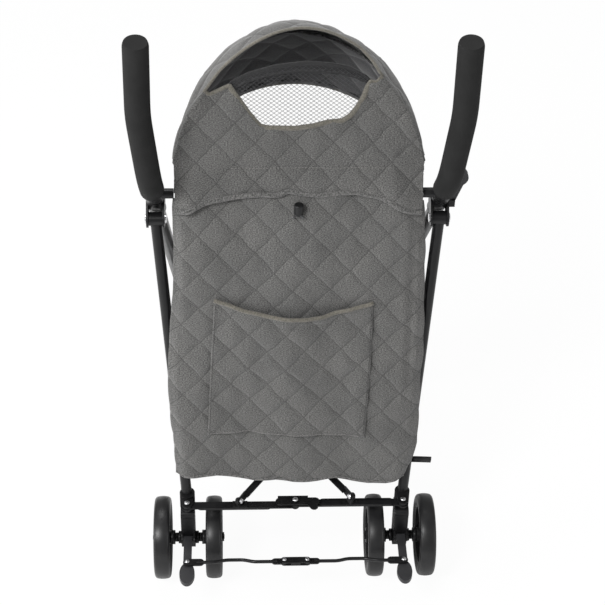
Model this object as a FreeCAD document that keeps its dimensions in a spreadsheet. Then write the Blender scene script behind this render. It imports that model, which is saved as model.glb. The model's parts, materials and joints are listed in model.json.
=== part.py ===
import FreeCAD, Part
import Sketcher
import math
import os

# Umbrella stroller, all sizes in millimetres.
# The stroller stands on the floor at z = 0 and faces +Y, so +X is the right side for the person pushing it.
# The origin is on the floor under the middle of the whole outline.

os.makedirs("parts", exist_ok=True)
doc = FreeCAD.newDocument("umbrella_stroller")
Vector = FreeCAD.Vector
Placement = FreeCAD.Placement
Rotation = FreeCAD.Rotation

# Driving sizes

SIZES = {
    # stance
    "rear_axle_y": -229,
    "rear_leg_x": 186,
    "front_tube_x": 205,
    "swivel_y": 319,
    "front_trail": 35,
    "front_tube_low_z": 185,
    # shoulder joint and handles
    "shoulder_x": 224,
    "shoulder_y": -113,
    "shoulder_z": 688,
    "lug_offset": 28,
    "handle_bend_rise": 122,
    "handle_bend_radius": 130,
    "handle_top_x": 234,
    "handle_top_y": -200,
    "handle_top_z": 1052,
    "handle_bow": 7,
    "main_tube_radius": 11,
    "bracket_wall": 3.2,
    "clip_wall": 3.5,
    "rivet_radius": 2.5,
    "rear_tube_radius": 9,
    "tube_wall": 1.5,
    "grip_radius": 19,
    "grip_length_below_bend": 52,
    # wheels
    "wheel_radius": 72.5,
    "tyre_width": 28,
    "tyre_depth": 19,
    "hub_radius": 13,
    "hub_half_width": 14,
    "spoke_count": 6,
    "spoke_width": 9,
    "spoke_thickness": 10,
    "rim_wall": 5,
    "axle_radius": 4,
    "rear_twin_offset": 45,
    "front_twin_offset": 23,
    "front_tyre_width": 22,
    "front_hub_half_width": 11,
    "fork_top_z": 150,
    "fork_collar_radius": 16,
    "stem_radius": 6,
    "fork_play": 3,
    # rear housing
    "housing_half_width": 12,
    "housing_depth": 17,
    "housing_top_z": 150,
    # crossbar and its ears
    "crossbar_y": -245,
    "crossbar_z": 168.4,
    "bar_half_width": 7.5,
    "bar_thickness": 3,
    "bar_rivet_x": 95,
    "bar_eye_radius": 9,
    "bar_pin_radius": 3,
    "centre_pin_radius": 4,
    "rim_height": 2,
    "rim_lip": 1.6,
    "rim_start": 24,
    "rim_end": 48,
    # cross arms
    "arm_half_width": 6,
    "arm_thickness": 3,
    "arm_rise_degrees": 4,
    "arm_bend_x": 15,
    "arm_bend_y": -135,
    "arm_end_x": 172,
    "arm_end_y": 254,
    "arm_pin_height": 9,
    "arm_step": 9,
    "arm_pin_radius": 3,
    # fold: swing of the rear legs, and of each crossbar half on its leg
    "fold_degrees": 33,
    "bar_fold_degrees": 68,
    "left_arm_lean_x": 66,
    "left_arm_lean_y": 98,
    "right_arm_lean_x": -47,
    "right_arm_lean_y": 38,
    # brake
    "pedal_pivot_back": 24,
    "pedal_pivot_z": 92,
    "brake_rod_back": 88,
    "brake_rod_z": 106,
    "brake_rod_radius": 3,
    "sleeve_rivet_x": 19.5,
    "pedal_length": 46,
    "pedal_half_width": 13,
    "pedal_thickness": 8,
    "pedal_pin_radius": 3,
    "link_thickness": 3,
    # seat rails
    "rail_x": 186,
    "rail_front_z": 430,
    "rail_rear_y": -182,
    "rail_rear_z": 405,
    "rail_radius": 7,
    # soft parts
    "canopy_y": -117,
    "canopy_z": 742,
    "canopy_half_width": 197,
    "canopy_radius": 262,
    "cloth": 3,
    "hood_front_angle": 8,
    "hood_split_angle": 36,
    "hood_rear_angle": 66,
    "hood_back_angle": 97,
    "roof_gap_half_width": 106,
    "flap_lean_degrees": 13,
    "band_height": 224,
    "band_side_height": 176,
    "band_width": 8,
    "window_low": 118,
    "net_pitch": 12,
    "net_cord": 1.6,
    "back_top_half_width": 199,
    "back_low_half_width": 205,
    "back_top_z": 738,
    "back_low_z": 226,
    "back_top_y": -131,
    "back_low_y": -232,
    "back_top_fold": 1.2,
    "back_low_fold": 6,
    "pocket_top_z": 583,
    "pocket_low_z": 262,
    "pocket_top_half_width": 126,
    "pocket_low_half_width": 132,
    "pocket_cloth": 2,
    "seat_length": 262,
    "seat_thickness": 24,
    "seat_lift": 4,
    "cushion_crown": 1.5,
    "cushion_bulge": 3,
    "backrest_height": 300,
    "backrest_forward": 22,
    "backrest_thickness": 24,
    "strap_x": 55,
    "strap_width": 25,
    "strap_length": 190,
    "buckle_y": 32,
    "buckle_width": 46,
    "buckle_length": 52,
    "toggle_radius": 7.5,
    "calf_top_half_width": 150,
    "calf_low_half_width": 140,
    "calf_drop": 120,
    "calf_reach": 46,
    "foot_strap_z": 268,
    "foot_strap_width": 34,
    # clearances
    "fit_gap": 0.1,
    "running_gap": 0.05,
    "face_gap": 0.3,
}

sheet = doc.addObject("Spreadsheet::Sheet", "Sizes")
for line, (alias, value) in enumerate(SIZES.items(), start=1):
    sheet.set(f"A{line}", alias)
    sheet.set(f"B{line}", str(value))
    sheet.setAlias(f"B{line}", alias)
doc.recompute()
size = {alias: float(sheet.get(alias)) for alias in SIZES}

fit = size["fit_gap"]
running = size["running_gap"]
gap = size["face_gap"]
rear_y = size["rear_axle_y"]
axle_z = size["wheel_radius"]
SIDES = (("left", -1), ("right", 1))
X_AXIS = Vector(1, 0, 0)
Y_AXIS = Vector(0, 1, 0)
Z_AXIS = Vector(0, 0, 1)
nodes = []


# Building helpers

def keep(thing, label):
    """Name a finished sub-part."""
    thing.Label = label
    nodes.append(thing)
    return thing


def shape_part(name, shape, base=Vector(0, 0, 0)):
    """A sub-part whose solid is worked out in code, placed afterwards."""
    thing = doc.addObject("Part::Feature", name)
    thing.Shape = shape
    thing.Placement = Placement(base, Rotation()).multiply(shape.Placement)
    return thing


def rod(name, start, direction, radius, length):
    """A cylinder whose radius and length are formulas on the sheet."""
    thing = doc.addObject("Part::Cylinder", name)
    thing.setExpression("Radius", radius)
    thing.setExpression("Height", length)
    thing.Placement = Placement(start, Rotation(Z_AXIS, direction))
    return thing


def block(name, corner, length, width, height, turn=Rotation()):
    """A box whose edges are formulas on the sheet."""
    thing = doc.addObject("Part::Box", name)
    thing.setExpression("Length", length)
    thing.setExpression("Width", width)
    thing.setExpression("Height", height)
    thing.Placement = Placement(corner, turn)
    return thing


def fuse(name, pieces):
    """One solid from several."""
    thing = doc.addObject("Part::MultiFuse", name)
    thing.Shapes = pieces
    thing.Refine = True
    return thing


def cut(name, base, tool):
    """The base without the tool."""
    thing = doc.addObject("Part::Cut", name)
    thing.Base = base
    thing.Tool = tool
    thing.Refine = True
    return thing


def group(name, pieces):
    """Separate solids under one name."""
    thing = doc.addObject("Part::Compound", name)
    thing.Links = pieces
    return thing


def origin_item(body, role):
    return next(item for item in body.Origin.OriginFeatures if item.Role == role)


def new_sketch(body, name, role, offset=Vector(0, 0, 0)):
    """A sketch on one of the body's own planes, pushed along it by offset."""
    sketch = body.newObject("Sketcher::SketchObject", name)
    sketch.AttachmentSupport = (origin_item(body, role), "")
    sketch.MapMode = "FlatFace"
    sketch.AttachmentOffset = Placement(offset, Rotation())
    return sketch


def add_circle(sketch, x, y, radius):
    """A circle whose radius is a formula on the sheet."""
    index = sketch.addGeometry(Part.Circle(Vector(x, y, 0), Z_AXIS, 5), False)
    constraint = sketch.addConstraint(Sketcher.Constraint("Radius", index, 5))
    sketch.setExpression(f"Constraints[{constraint}]", radius)


def add_outline(sketch, edges):
    """Closed outline from lines (two points) and arcs (three points)."""
    for points in edges:
        flat = [Vector(x, y, 0) for x, y in points]
        if len(flat) == 2:
            sketch.addGeometry(Part.LineSegment(*flat), False)
        else:
            sketch.addGeometry(Part.Arc(*flat), False)


def pad(body, sketch, name, length, middle=True):
    """A pad with its length as a formula on the sheet."""
    feature = body.newObject("PartDesign::Pad", name)
    feature.Profile = sketch
    feature.Midplane = middle
    feature.setExpression("Length", length)
    sketch.Visibility = False
    return feature


def turned(body, sketch, name):
    """A full revolution about the sketch's own horizontal axis."""
    feature = body.newObject("PartDesign::Revolution", name)
    feature.Profile = sketch
    feature.ReferenceAxis = (sketch, ["H_Axis"])
    feature.Angle = 360
    return feature


def rounded_path(points, radii):
    """A wire of straight runs joined by tangent arcs, one radius for each inner point."""
    edges = []
    start = points[0]
    for before, corner, after, radius in zip(points, points[1:], points[2:], radii):
        back = (before - corner).normalize()
        ahead = (after - corner).normalize()
        half_turn = (math.pi - back.getAngle(ahead)) / 2
        reach = radius * math.tan(half_turn)
        first = corner + back * reach
        last = corner + ahead * reach
        inward = (back + ahead).normalize()
        middle = corner + inward * (radius / math.cos(half_turn) - radius)
        edges.append(Part.LineSegment(start, first).toShape())
        edges.append(Part.Arc(first, middle, last).toShape())
        start = last
    edges.append(Part.LineSegment(start, points[-1]).toShape())
    return Part.Wire(edges)


def swept_rod(path, radius):
    """A solid round bar along a wire."""
    edge = path.OrderedEdges[0]
    start = edge.valueAt(edge.FirstParameter)
    heading = edge.tangentAt(edge.FirstParameter)
    ring = Part.Wire([Part.Circle(start, heading, radius).toShape()])
    return path.makePipeShell([ring], True, False)


def swept_tube(path, radius, wall):
    return swept_rod(path, radius).cut(swept_rod(path, radius - wall))


def solid_cylinder(radius, start, end):
    return Part.makeCylinder(radius, (end - start).Length, start, end - start)


def strap_outline(points, half_width):
    """Outline of a flat bar with round ends that follows a line with bends."""
    flat = [Vector(x, y, 0) for x, y in points]
    left = []
    right = []
    for index, point in enumerate(flat):
        before = flat[max(index - 1, 0)]
        after = flat[min(index + 1, len(flat) - 1)]
        headings = []
        if index > 0:
            headings.append((point - before).normalize())
        if index < len(flat) - 1:
            headings.append((after - point).normalize())
        mean = headings[0]
        stretch = 1
        if len(headings) == 2:
            mean = (headings[0] + headings[1]).normalize()
            stretch = 1 / mean.dot(headings[0])
        side = Vector(-mean.y, mean.x, 0) * half_width * stretch
        left.append(point + side)
        right.append(point - side)
    first = (flat[0] - flat[1]).normalize() * half_width + flat[0]
    last = (flat[-1] - flat[-2]).normalize() * half_width + flat[-1]
    edges = [Part.LineSegment(a, b).toShape() for a, b in zip(left, left[1:])]
    edges.append(Part.Arc(left[-1], last, right[-1]).toShape())
    back = list(reversed(right))
    edges += [Part.LineSegment(a, b).toShape() for a, b in zip(back, back[1:])]
    edges.append(Part.Arc(right[0], first, left[0]).toShape())
    return Part.Wire(edges)


def flat_bar(points, half_width, thickness, z):
    """A flat bar with round ends, lying level with its underside at z."""
    face = Part.Face(strap_outline(points, half_width))
    bar = face.extrude(Vector(0, 0, thickness))
    bar.translate(Vector(0, 0, z))
    return bar


def upright_hole(x, y, radius, low, high):
    return Part.makeCylinder(radius, high - low, Vector(x, y, low), Z_AXIS)


# Main tube line: straight from the front caster past the shoulder joint, then up into the handle.

def main_line(side):
    """Points of one main tube, its heading, and the point beside the shoulder pivot."""
    low = Vector(side * size["front_tube_x"], size["swivel_y"] - 8, size["front_tube_low_z"])
    pivot = Vector(side * size["shoulder_x"], size["shoulder_y"], size["shoulder_z"])
    flat_length = math.hypot(pivot.y - low.y, pivot.z - low.z)
    straight = math.atan2(pivot.z - low.z, pivot.y - low.y)
    lean = straight - math.asin(size["lug_offset"] / flat_length)
    run = math.sqrt(flat_length ** 2 - size["lug_offset"] ** 2)
    beside = Vector(pivot.x, low.y + run * math.cos(lean), low.z + run * math.sin(lean))
    heading = (beside - low).normalize()
    bend = beside + heading * size["handle_bend_rise"]
    top = Vector(side * size["handle_top_x"], size["handle_top_y"], size["handle_top_z"])
    middle = (bend + top) * 0.5 + Vector(side * size["handle_bow"], 0, 0)
    return low, beside, bend, middle, top, heading


def point_at_height(side, z):
    """The main tube's centre at a height below the shoulder."""
    low, beside, bend, middle, top, heading = main_line(side)
    return low + heading * ((z - low.z) / heading.z)


# Rear leg line: from the shoulder pivot down to an upright end in the wheel housing.

def rear_line(side):
    pivot = Vector(side * size["shoulder_x"], size["shoulder_y"], size["shoulder_z"])
    knee = Vector(side * size["rear_leg_x"], rear_y + 6, size["housing_top_z"] + 14)
    foot = Vector(side * size["rear_leg_x"], rear_y + 6, axle_z + 26)
    return pivot, knee, foot


def make_main_tube(name, side):
    """Bent tube with the rivet stud that the seat rail turns on."""
    low, beside, bend, middle, top, heading = main_line(side)
    radius = size["main_tube_radius"]
    path = rounded_path([low, bend, middle, top], [size["handle_bend_radius"], 420])
    tube = swept_tube(path, radius, size["tube_wall"])
    stud_at = point_at_height(side, size["rail_front_z"])
    stud_start = Vector(stud_at.x - side * (radius - 1), stud_at.y, stud_at.z)
    stud_end = Vector(side * (size["rail_x"] - 10), stud_at.y, stud_at.z)
    stud = solid_cylinder(size["axle_radius"], stud_start, stud_end)
    return keep(shape_part(name + "_main_tube", tube.fuse(stud)), name + "_main_tube")


def make_grip(name, side):
    """Foam sleeve over the handle, with a rounded closed top."""
    low, beside, bend, middle, top, heading = main_line(side)
    start = bend - heading * size["grip_length_below_bend"]
    path = rounded_path([start, bend, middle, top], [size["handle_bend_radius"] - 20, 420])
    bore_path = rounded_path([start, bend, middle, top], [size["handle_bend_radius"], 420])
    radius = size["grip_radius"]
    sleeve = swept_rod(path, radius)
    last = path.OrderedEdges[-1]
    heading_up = last.tangentAt(last.LastParameter)
    crown = Part.makeSphere(radius, top, heading_up, 0, 90, 360)
    flat_top = Part.makeCylinder(radius, 8, top, heading_up)
    crown = crown.common(flat_top)
    hollow = swept_rod(bore_path, size["main_tube_radius"] + fit)
    solid = sleeve.fuse(crown).cut(hollow)
    return keep(shape_part(name + "_grip", solid), name + "_grip")


def make_shoulder_bracket(name, side):
    """Sleeve on the main tube with two cheeks that take the rear leg's pivot."""
    low, beside, bend, middle, top, heading = main_line(side)
    pivot = Vector(side * size["shoulder_x"], size["shoulder_y"], size["shoulder_z"])
    bore = size["main_tube_radius"] + fit
    outer = bore + size["bracket_wall"] - 0.2
    inner_face = size["main_tube_radius"] + gap
    start = beside - heading * 34
    end = beside + heading * 30
    sleeve = solid_cylinder(outer, start, end)
    cheeks = []
    for facing in (-1, 1):
        cheek_x = beside.x + facing * (inner_face + size["bracket_wall"] / 2)
        face = Part.Face(cheek_outline(beside, pivot, 17, 14))
        face.translate(Vector(cheek_x - size["bracket_wall"] / 2, 0, 0))
        cheeks.append(face.extrude(Vector(size["bracket_wall"], 0, 0)))
    solid = sleeve.multiFuse(cheeks)
    solid = solid.cut(solid_cylinder(bore, start - heading, end + heading))
    eye_room = Part.makeCylinder(size["lug_offset"] - bore - 1, 2 * inner_face,
                                 Vector(pivot.x - inner_face, pivot.y, pivot.z), X_AXIS)
    solid = solid.cut(eye_room)
    pin_hole = Part.makeCylinder(size["axle_radius"] + fit, 60,
                                 Vector(pivot.x - 30, pivot.y, pivot.z), X_AXIS)
    return keep(shape_part(name + "_shoulder_bracket", solid.cut(pin_hole)), name + "_shoulder_bracket")


def cheek_outline(first, second, first_radius, second_radius):
    """Two circles in the side plane joined by their outer tangents."""
    along = Vector(0, second.y - first.y, second.z - first.z)
    distance = along.Length
    along.normalize()
    across = Vector(0, -along.z, along.y)
    tilt = math.asin((first_radius - second_radius) / distance)
    normal_up = across * math.cos(tilt) + along * math.sin(tilt)
    normal_down = across * -math.cos(tilt) + along * math.sin(tilt)
    a = Vector(0, first.y, first.z)
    b = Vector(0, second.y, second.z)
    return Part.Wire([
        Part.LineSegment(a + normal_up * first_radius, b + normal_up * second_radius).toShape(),
        Part.Arc(b + normal_up * second_radius, b + along * second_radius,
                 b + normal_down * second_radius).toShape(),
        Part.LineSegment(b + normal_down * second_radius, a + normal_down * first_radius).toShape(),
        Part.Arc(a + normal_down * first_radius, a - along * first_radius,
                 a + normal_up * first_radius).toShape(),
    ])


def make_shoulder_pin(name, side):
    """Rivet through the shoulder joint, with a domed head on each end."""
    pivot = Vector(side * size["shoulder_x"], size["shoulder_y"], size["shoulder_z"])
    half = size["main_tube_radius"] + gap + size["bracket_wall"] + fit
    shank = rod(name + "_pin_shank", pivot - X_AXIS * half, X_AXIS, "Sizes.axle_radius",
                "2 * (Sizes.main_tube_radius + Sizes.face_gap + Sizes.bracket_wall + Sizes.fit_gap)")
    heads = []
    for facing in (-1, 1):
        head = rod(f"{name}_pin_head_{facing + 1}", pivot + X_AXIS * facing * half, X_AXIS * facing,
                   "Sizes.axle_radius + 3", "2.2")
        heads.append(head)
    return keep(fuse(name + "_shoulder_pin", [shank] + heads), name + "_shoulder_pin")


def make_canopy_clip(name, side):
    """Plastic clip round the main tube with the boss that the canopy bows plug on."""
    heading = main_line(side)[5]
    centre = point_at_height(side, size["canopy_z"])
    bore = size["main_tube_radius"] + fit
    ring = solid_cylinder(bore + size["clip_wall"], centre - heading * 11, centre + heading * 11)
    boss_start = Vector(centre.x, centre.y, centre.z)
    boss_end = Vector(side * (size["canopy_half_width"] - size["cloth"] - gap), centre.y, centre.z)
    boss = solid_cylinder(8, boss_start, boss_end)
    ring = ring.fuse(boss).cut(solid_cylinder(bore, centre - heading * 14, centre + heading * 14))
    return keep(shape_part(name + "_canopy_clip", ring), name + "_canopy_clip")


def make_caster_head(name, side):
    """Plastic foot of the main tube with the upright swivel bore and the arm stud."""
    low, beside, bend, middle, top, heading = main_line(side)
    radius = size["main_tube_radius"]
    swivel = Vector(low.x, size["swivel_y"], 0)
    sleeve = solid_cylinder(radius + 4, low - heading * 6, low + heading * 48)
    post_z = size["fork_top_z"] + 1
    post = Part.makeCylinder(size["fork_collar_radius"], 40, Vector(swivel.x, swivel.y, post_z), Z_AXIS)
    post = post.makeFillet(4, [edge for edge in post.Edges if edge.BoundBox.ZMin > post_z + 39])
    stud_z = arm_low_z(-side) + arm_rise(size["arm_end_y"]) + size["arm_thickness"] / 2
    stud_at = point_at_height(side, stud_z)
    stud_tip = size["arm_end_x"] + size["arm_half_width"] + gap
    stud = solid_cylinder(size["axle_radius"], stud_at, Vector(side * stud_tip, stud_at.y, stud_z))
    solid = sleeve.multiFuse([post, stud])
    solid = solid.cut(solid_cylinder(radius + fit, low, low + heading * 60))
    solid = solid.cut(Part.makeCylinder(size["stem_radius"] + running, 34,
                                        Vector(swivel.x, swivel.y, post_z - 1), Z_AXIS))
    return keep(shape_part(name + "_caster_head", solid), name + "_caster_head")


def make_front_fork(name, side):
    """Caster fork: one blade between the twin wheels, with its upright stem."""
    body = doc.addObject("PartDesign::Body", name + "_front_fork")
    blade = new_sketch(body, name + "_blade", "YZ_Plane")
    trail = size["front_trail"]
    drop = size["fork_top_z"] - axle_z
    collar_radius = size["fork_collar_radius"]
    add_outline(blade, [
        ((-collar_radius, 0), (collar_radius, 0)),
        ((collar_radius, 0), (collar_radius, -8)),
        ((collar_radius, -8), (4, -44), (-trail + 12, -drop - 3)),
        ((-trail + 12, -drop - 3), (-trail, -drop - 14), (-trail - 13, -drop)),
        ((-trail - 13, -drop), (-trail - 5, -40), (-collar_radius, -12)),
        ((-collar_radius, -12), (-collar_radius, 0)),
    ])
    blade_width = "2 * (Sizes.front_twin_offset - Sizes.front_tyre_width / 2 - Sizes.fork_play)"
    pad(body, blade, name + "_blade_pad", blade_width)
    stem = new_sketch(body, name + "_stem", "XY_Plane", Vector(0, 0, -8))
    add_circle(stem, 0, 0, "Sizes.stem_radius")
    pad(body, stem, name + "_stem_pad", "40", False)
    collar = new_sketch(body, name + "_collar", "XY_Plane", Vector(0, 0, -10))
    add_circle(collar, 0, 0, "Sizes.fork_collar_radius")
    pad(body, collar, name + "_collar_pad", "10", False)
    bore = new_sketch(body, name + "_bore", "YZ_Plane")
    add_circle(bore, -trail, -drop, "Sizes.axle_radius + Sizes.running_gap")
    hole = body.newObject("PartDesign::Pocket", name + "_axle_hole")
    hole.Profile = bore
    hole.Midplane = True
    hole.Length = 60
    swivel = Vector(side * size["front_tube_x"], size["swivel_y"], size["fork_top_z"])
    body.Placement = Placement(swivel, Rotation())
    return keep(body, name + "_front_fork")


def make_axle(name, centre, twin, half_hub, blade_half):
    """Steel axle with spacer collars inside the hubs and a cap outside each."""
    half = twin + half_hub + 4
    shaft = rod(name + "_shaft", centre - X_AXIS * half, X_AXIS, "Sizes.axle_radius", str(2 * half))
    pieces = [shaft]
    for facing in (-1, 1):
        collar_length = twin - half_hub - blade_half - 2 * gap
        collar_start = centre + X_AXIS * facing * (blade_half + gap)
        pieces.append(rod(f"{name}_collar_{facing + 1}", collar_start, X_AXIS * facing,
                          "Sizes.axle_radius + 3", str(collar_length)))
        cap_start = centre + X_AXIS * facing * (twin + half_hub + gap)
        pieces.append(rod(f"{name}_cap_{facing + 1}", cap_start, X_AXIS * facing,
                          "Sizes.axle_radius + 4", "3"))
    return keep(fuse(name, pieces), name)


def make_tyre(name, centre, half_width):
    """Foam tyre with a crowned tread, turned about the axle."""
    body = doc.addObject("PartDesign::Body", name)
    section = new_sketch(body, name + "_section", "XY_Plane")
    outer = size["wheel_radius"]
    inner = outer - size["tyre_depth"]
    shoulder = outer - 7
    side = half_width
    add_outline(section, [
        ((-side + 3, inner), (side - 3, inner)),
        ((side - 3, inner), (side, inner + 6)),
        ((side, inner + 6), (side, shoulder)),
        ((side, shoulder), (side - 2, outer - 2.6), (side - 5, outer - 1)),
        ((side - 5, outer - 1), (0, outer), (-side + 5, outer - 1)),
        ((-side + 5, outer - 1), (-side + 2, outer - 2.6), (-side, shoulder)),
        ((-side, shoulder), (-side, inner + 6)),
        ((-side, inner + 6), (-side + 3, inner)),
    ])
    turned(body, section, name + "_turn")
    body.Placement = Placement(centre, Rotation())
    return body


def make_rim(name, centre, half_width, hub_half, bore_gap):
    """Spoked rim: a turned hub and ring joined by a pattern of spokes."""
    body = doc.addObject("PartDesign::Body", name)
    outer = size["wheel_radius"] - size["tyre_depth"] - running
    inner = outer - size["rim_wall"]
    bore = size["axle_radius"] + bore_gap
    hub = size["hub_radius"]
    ring = half_width - 3
    section = new_sketch(body, name + "_section", "XY_Plane")
    web = size["spoke_thickness"] / 4
    add_outline(section, [
        ((-hub_half, bore), (hub_half, bore)),
        ((hub_half, bore), (hub_half, hub - 3)),
        ((hub_half, hub - 3), (hub_half - 3, hub)),
        ((hub_half - 3, hub), (web, hub)),
        ((web, hub), (web, hub + 5)),
        ((web, hub + 5), (-web, hub + 5)),
        ((-web, hub + 5), (-web, hub)),
        ((-web, hub), (-hub_half, hub)),
        ((-hub_half, hub), (-hub_half, bore)),
    ])
    turned(body, section, name + "_hub")
    band = new_sketch(body, name + "_band", "XY_Plane")
    add_outline(band, [
        ((-ring, inner), (ring, inner)),
        ((ring, inner), (ring, outer)),
        ((ring, outer), (-ring, outer)),
        ((-ring, outer), (-ring, inner)),
    ])
    spoke = new_sketch(body, name + "_spoke", "YZ_Plane")
    half = size["spoke_width"] / 2
    add_outline(spoke, [
        ((-half, hub - 1), (-half + 1.5, inner + 1)),
        ((-half + 1.5, inner + 1), (half - 1.5, inner + 1)),
        ((half - 1.5, inner + 1), (half, hub - 1)),
        ((half, hub - 1), (-half, hub - 1)),
    ])
    spoke_pad = pad(body, spoke, name + "_spoke_pad", "Sizes.spoke_thickness")
    doc.recompute()
    pattern = body.newObject("PartDesign::PolarPattern", name + "_spokes")
    pattern.Originals = [spoke_pad]
    pattern.Axis = (origin_item(body, "X_Axis"), [""])
    pattern.Angle = 360
    pattern.setExpression("Occurrences", "Sizes.spoke_count")
    body.Tip = pattern
    doc.recompute()
    turned(body, band, name + "_ring")
    body.Placement = Placement(centre, Rotation())
    return body


def make_rear_leg(name, side):
    """Leg tube with a solid eye at the shoulder and the stud that holds up the seat rail."""
    pivot, knee, foot = rear_line(side)
    radius = size["rear_tube_radius"]
    path = rounded_path([pivot + (knee - pivot).normalize() * 4, knee, foot], [60])
    tube = swept_tube(path, radius, size["tube_wall"])
    eye_half = size["main_tube_radius"]
    eye = Part.makeCylinder(11, 2 * eye_half, Vector(pivot.x - eye_half, pivot.y, pivot.z), X_AXIS)
    neck = solid_cylinder(radius - size["tube_wall"] + 0.2, pivot, pivot + (knee - pivot).normalize() * 22)
    solid = tube.multiFuse([eye, neck])
    solid = solid.cut(Part.makeCylinder(size["axle_radius"] + running, 60,
                                        Vector(pivot.x - 30, pivot.y, pivot.z), X_AXIS))
    stud_z = size["rail_rear_z"] - size["rail_radius"] - 4 - gap
    share = (pivot.z - stud_z) / (pivot.z - knee.z)
    at = pivot + (knee - pivot) * share
    stud = solid_cylinder(4, Vector(at.x - side * (radius - 1), at.y, at.z),
                          Vector(side * (size["rail_x"] - 9), at.y, at.z))
    return keep(shape_part(name + "_rear_leg_tube", solid.fuse(stud)), name + "_rear_leg_tube")


def bar_low_z(side):
    """Underside of a crossbar half: the right one lies on top of the left one."""
    step = 0 if side < 0 else size["bar_thickness"] + gap
    return size["crossbar_z"] + step


def make_rear_housing(name, side):
    """Moulded foot: axle boss, tube socket, pedal pivot ears and the crossbar clevis."""
    body = doc.addObject("PartDesign::Body", name + "_rear_housing_block")
    outline = new_sketch(body, name + "_housing_outline", "YZ_Plane")
    depth = size["housing_depth"]
    top = size["housing_top_z"] - axle_z
    add_outline(outline, [
        ((-depth, 0), (0, -depth), (depth, 0)),
        ((depth, 0), (depth + 4, top - 12)),
        ((depth + 4, top - 12), (depth, top), (depth - 6, top)),
        ((depth - 6, top), (-8, top)),
        ((-8, top), (-depth + 2, top - 3), (-depth + 1, top - 12)),
        ((-depth + 1, top - 12), (-depth, 0)),
    ])
    pad(body, outline, name + "_housing_pad", "2 * Sizes.housing_half_width")
    bore = new_sketch(body, name + "_housing_bore", "YZ_Plane")
    add_circle(bore, 0, 0, "Sizes.axle_radius + Sizes.fit_gap")
    hole = body.newObject("PartDesign::Pocket", name + "_housing_hole")
    hole.Profile = bore
    hole.Midplane = True
    hole.Length = 60
    x = side * size["rear_leg_x"]
    body.Placement = Placement(Vector(x, rear_y, axle_z), Rotation())
    doc.recompute()
    pivot, knee, foot = rear_line(side)
    collar = Part.makeCylinder(13, 34, Vector(foot.x, foot.y, size["housing_top_z"] - 4), Z_AXIS)
    low = bar_low_z(side)
    clevis = []
    for plate_z in (low - gap - 4, low + size["bar_thickness"] + gap):
        plate_line = [(x, rear_y + 2), (x, size["crossbar_y"])]
        clevis.append(flat_bar(plate_line, size["bar_eye_radius"], 4, plate_z))
    pin = upright_hole(x, size["crossbar_y"], size["bar_pin_radius"], low - gap - 6,
                       low + size["bar_thickness"] + gap + 6)
    pin_head = upright_hole(x, size["crossbar_y"], size["bar_pin_radius"] + 2.5,
                            low + size["bar_thickness"] + gap + 4,
                            low + size["bar_thickness"] + gap + 6.5)
    pedal_y = rear_y - size["pedal_pivot_back"]
    pedal_z = size["pedal_pivot_z"]
    ears = []
    for facing in (-1, 1):
        ear = Part.Face(cheek_outline(Vector(0, rear_y - 8, pedal_z), Vector(0, pedal_y, pedal_z), 10, 7))
        ear.translate(Vector(x + facing * 10.5 - 1.5, 0, 0))
        ears.append(ear.extrude(Vector(3, 0, 0)))
    pedal_pin = Part.makeCylinder(size["pedal_pin_radius"], 22, Vector(x - 11, pedal_y, pedal_z), X_AXIS)
    additions = clevis + ears + [pin, pin_head, pedal_pin]
    extras = shape_part(name + "_housing_extras", collar.multiFuse(additions))
    whole = fuse(name + "_housing_whole", [body, extras])
    slope_room = swept_rod(rounded_path(list(rear_line(side)), [60]), size["rear_tube_radius"] + fit)
    room = shape_part(name + "_tube_room", slope_room)
    return keep(cut(name + "_rear_housing", whole, room), name + "_rear_housing")


def make_crossbar(name, side):
    """Folding half of the rear crossbar, pierced for its leg pin, its arm rivet and the centre pin."""
    low = bar_low_z(side)
    x = side * size["rear_leg_x"]
    y = size["crossbar_y"]
    thickness = size["bar_thickness"]
    bar = flat_bar([(x, y), (0, y)], size["bar_half_width"], thickness, low)
    rim_line = [(x - side * size["rim_start"], y), (side * size["rim_end"], y)]
    rim_low = low - size["rim_height"] if side < 0 else low
    hollow_low = rim_low - 1 if side < 0 else low + thickness
    rim = flat_bar(rim_line, size["bar_half_width"], thickness + size["rim_height"], rim_low)
    hollow = flat_bar(rim_line, size["bar_half_width"] - size["rim_lip"], thickness, hollow_low)
    bar = bar.fuse(rim.cut(hollow))
    bar = bar.cut(upright_hole(x, y, size["bar_pin_radius"] + running, low - 5, low + 10))
    rivet_x = side * size["bar_rivet_x"]
    if side < 0:
        pin_top = bar_low_z(1) + thickness + 2 * gap + 5
        pin = upright_hole(0, y, size["centre_pin_radius"], low - 2.5, pin_top)
        head = upright_hole(0, y, size["centre_pin_radius"] + 1.2, pin_top, pin_top + 3)
        foot = upright_hole(0, y, size["centre_pin_radius"] + 3, low - 2.5, low)
        bar = bar.multiFuse([pin, head, foot])
    else:
        bar = bar.cut(upright_hole(0, y, size["centre_pin_radius"] + running, low - 5, low + 10))
    rivets = []
    for step in (-1, 1):
        head_x = rivet_x + step * 10
        rivets.append(upright_hole(head_x, y, size["rivet_radius"],
                                   low + thickness - 0.5, low + thickness + 3))
    bracket = make_arm_bracket(side, rivet_x, y, low + thickness)
    return keep(shape_part("crossbar_" + name, bar.multiFuse(rivets + [bracket])), "crossbar_" + name)


def arm_rise(y):
    """Height that a cross arm gains from its pin to a place further forward."""
    return (y - size["crossbar_y"]) * math.tan(math.radians(size["arm_rise_degrees"]))


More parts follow.
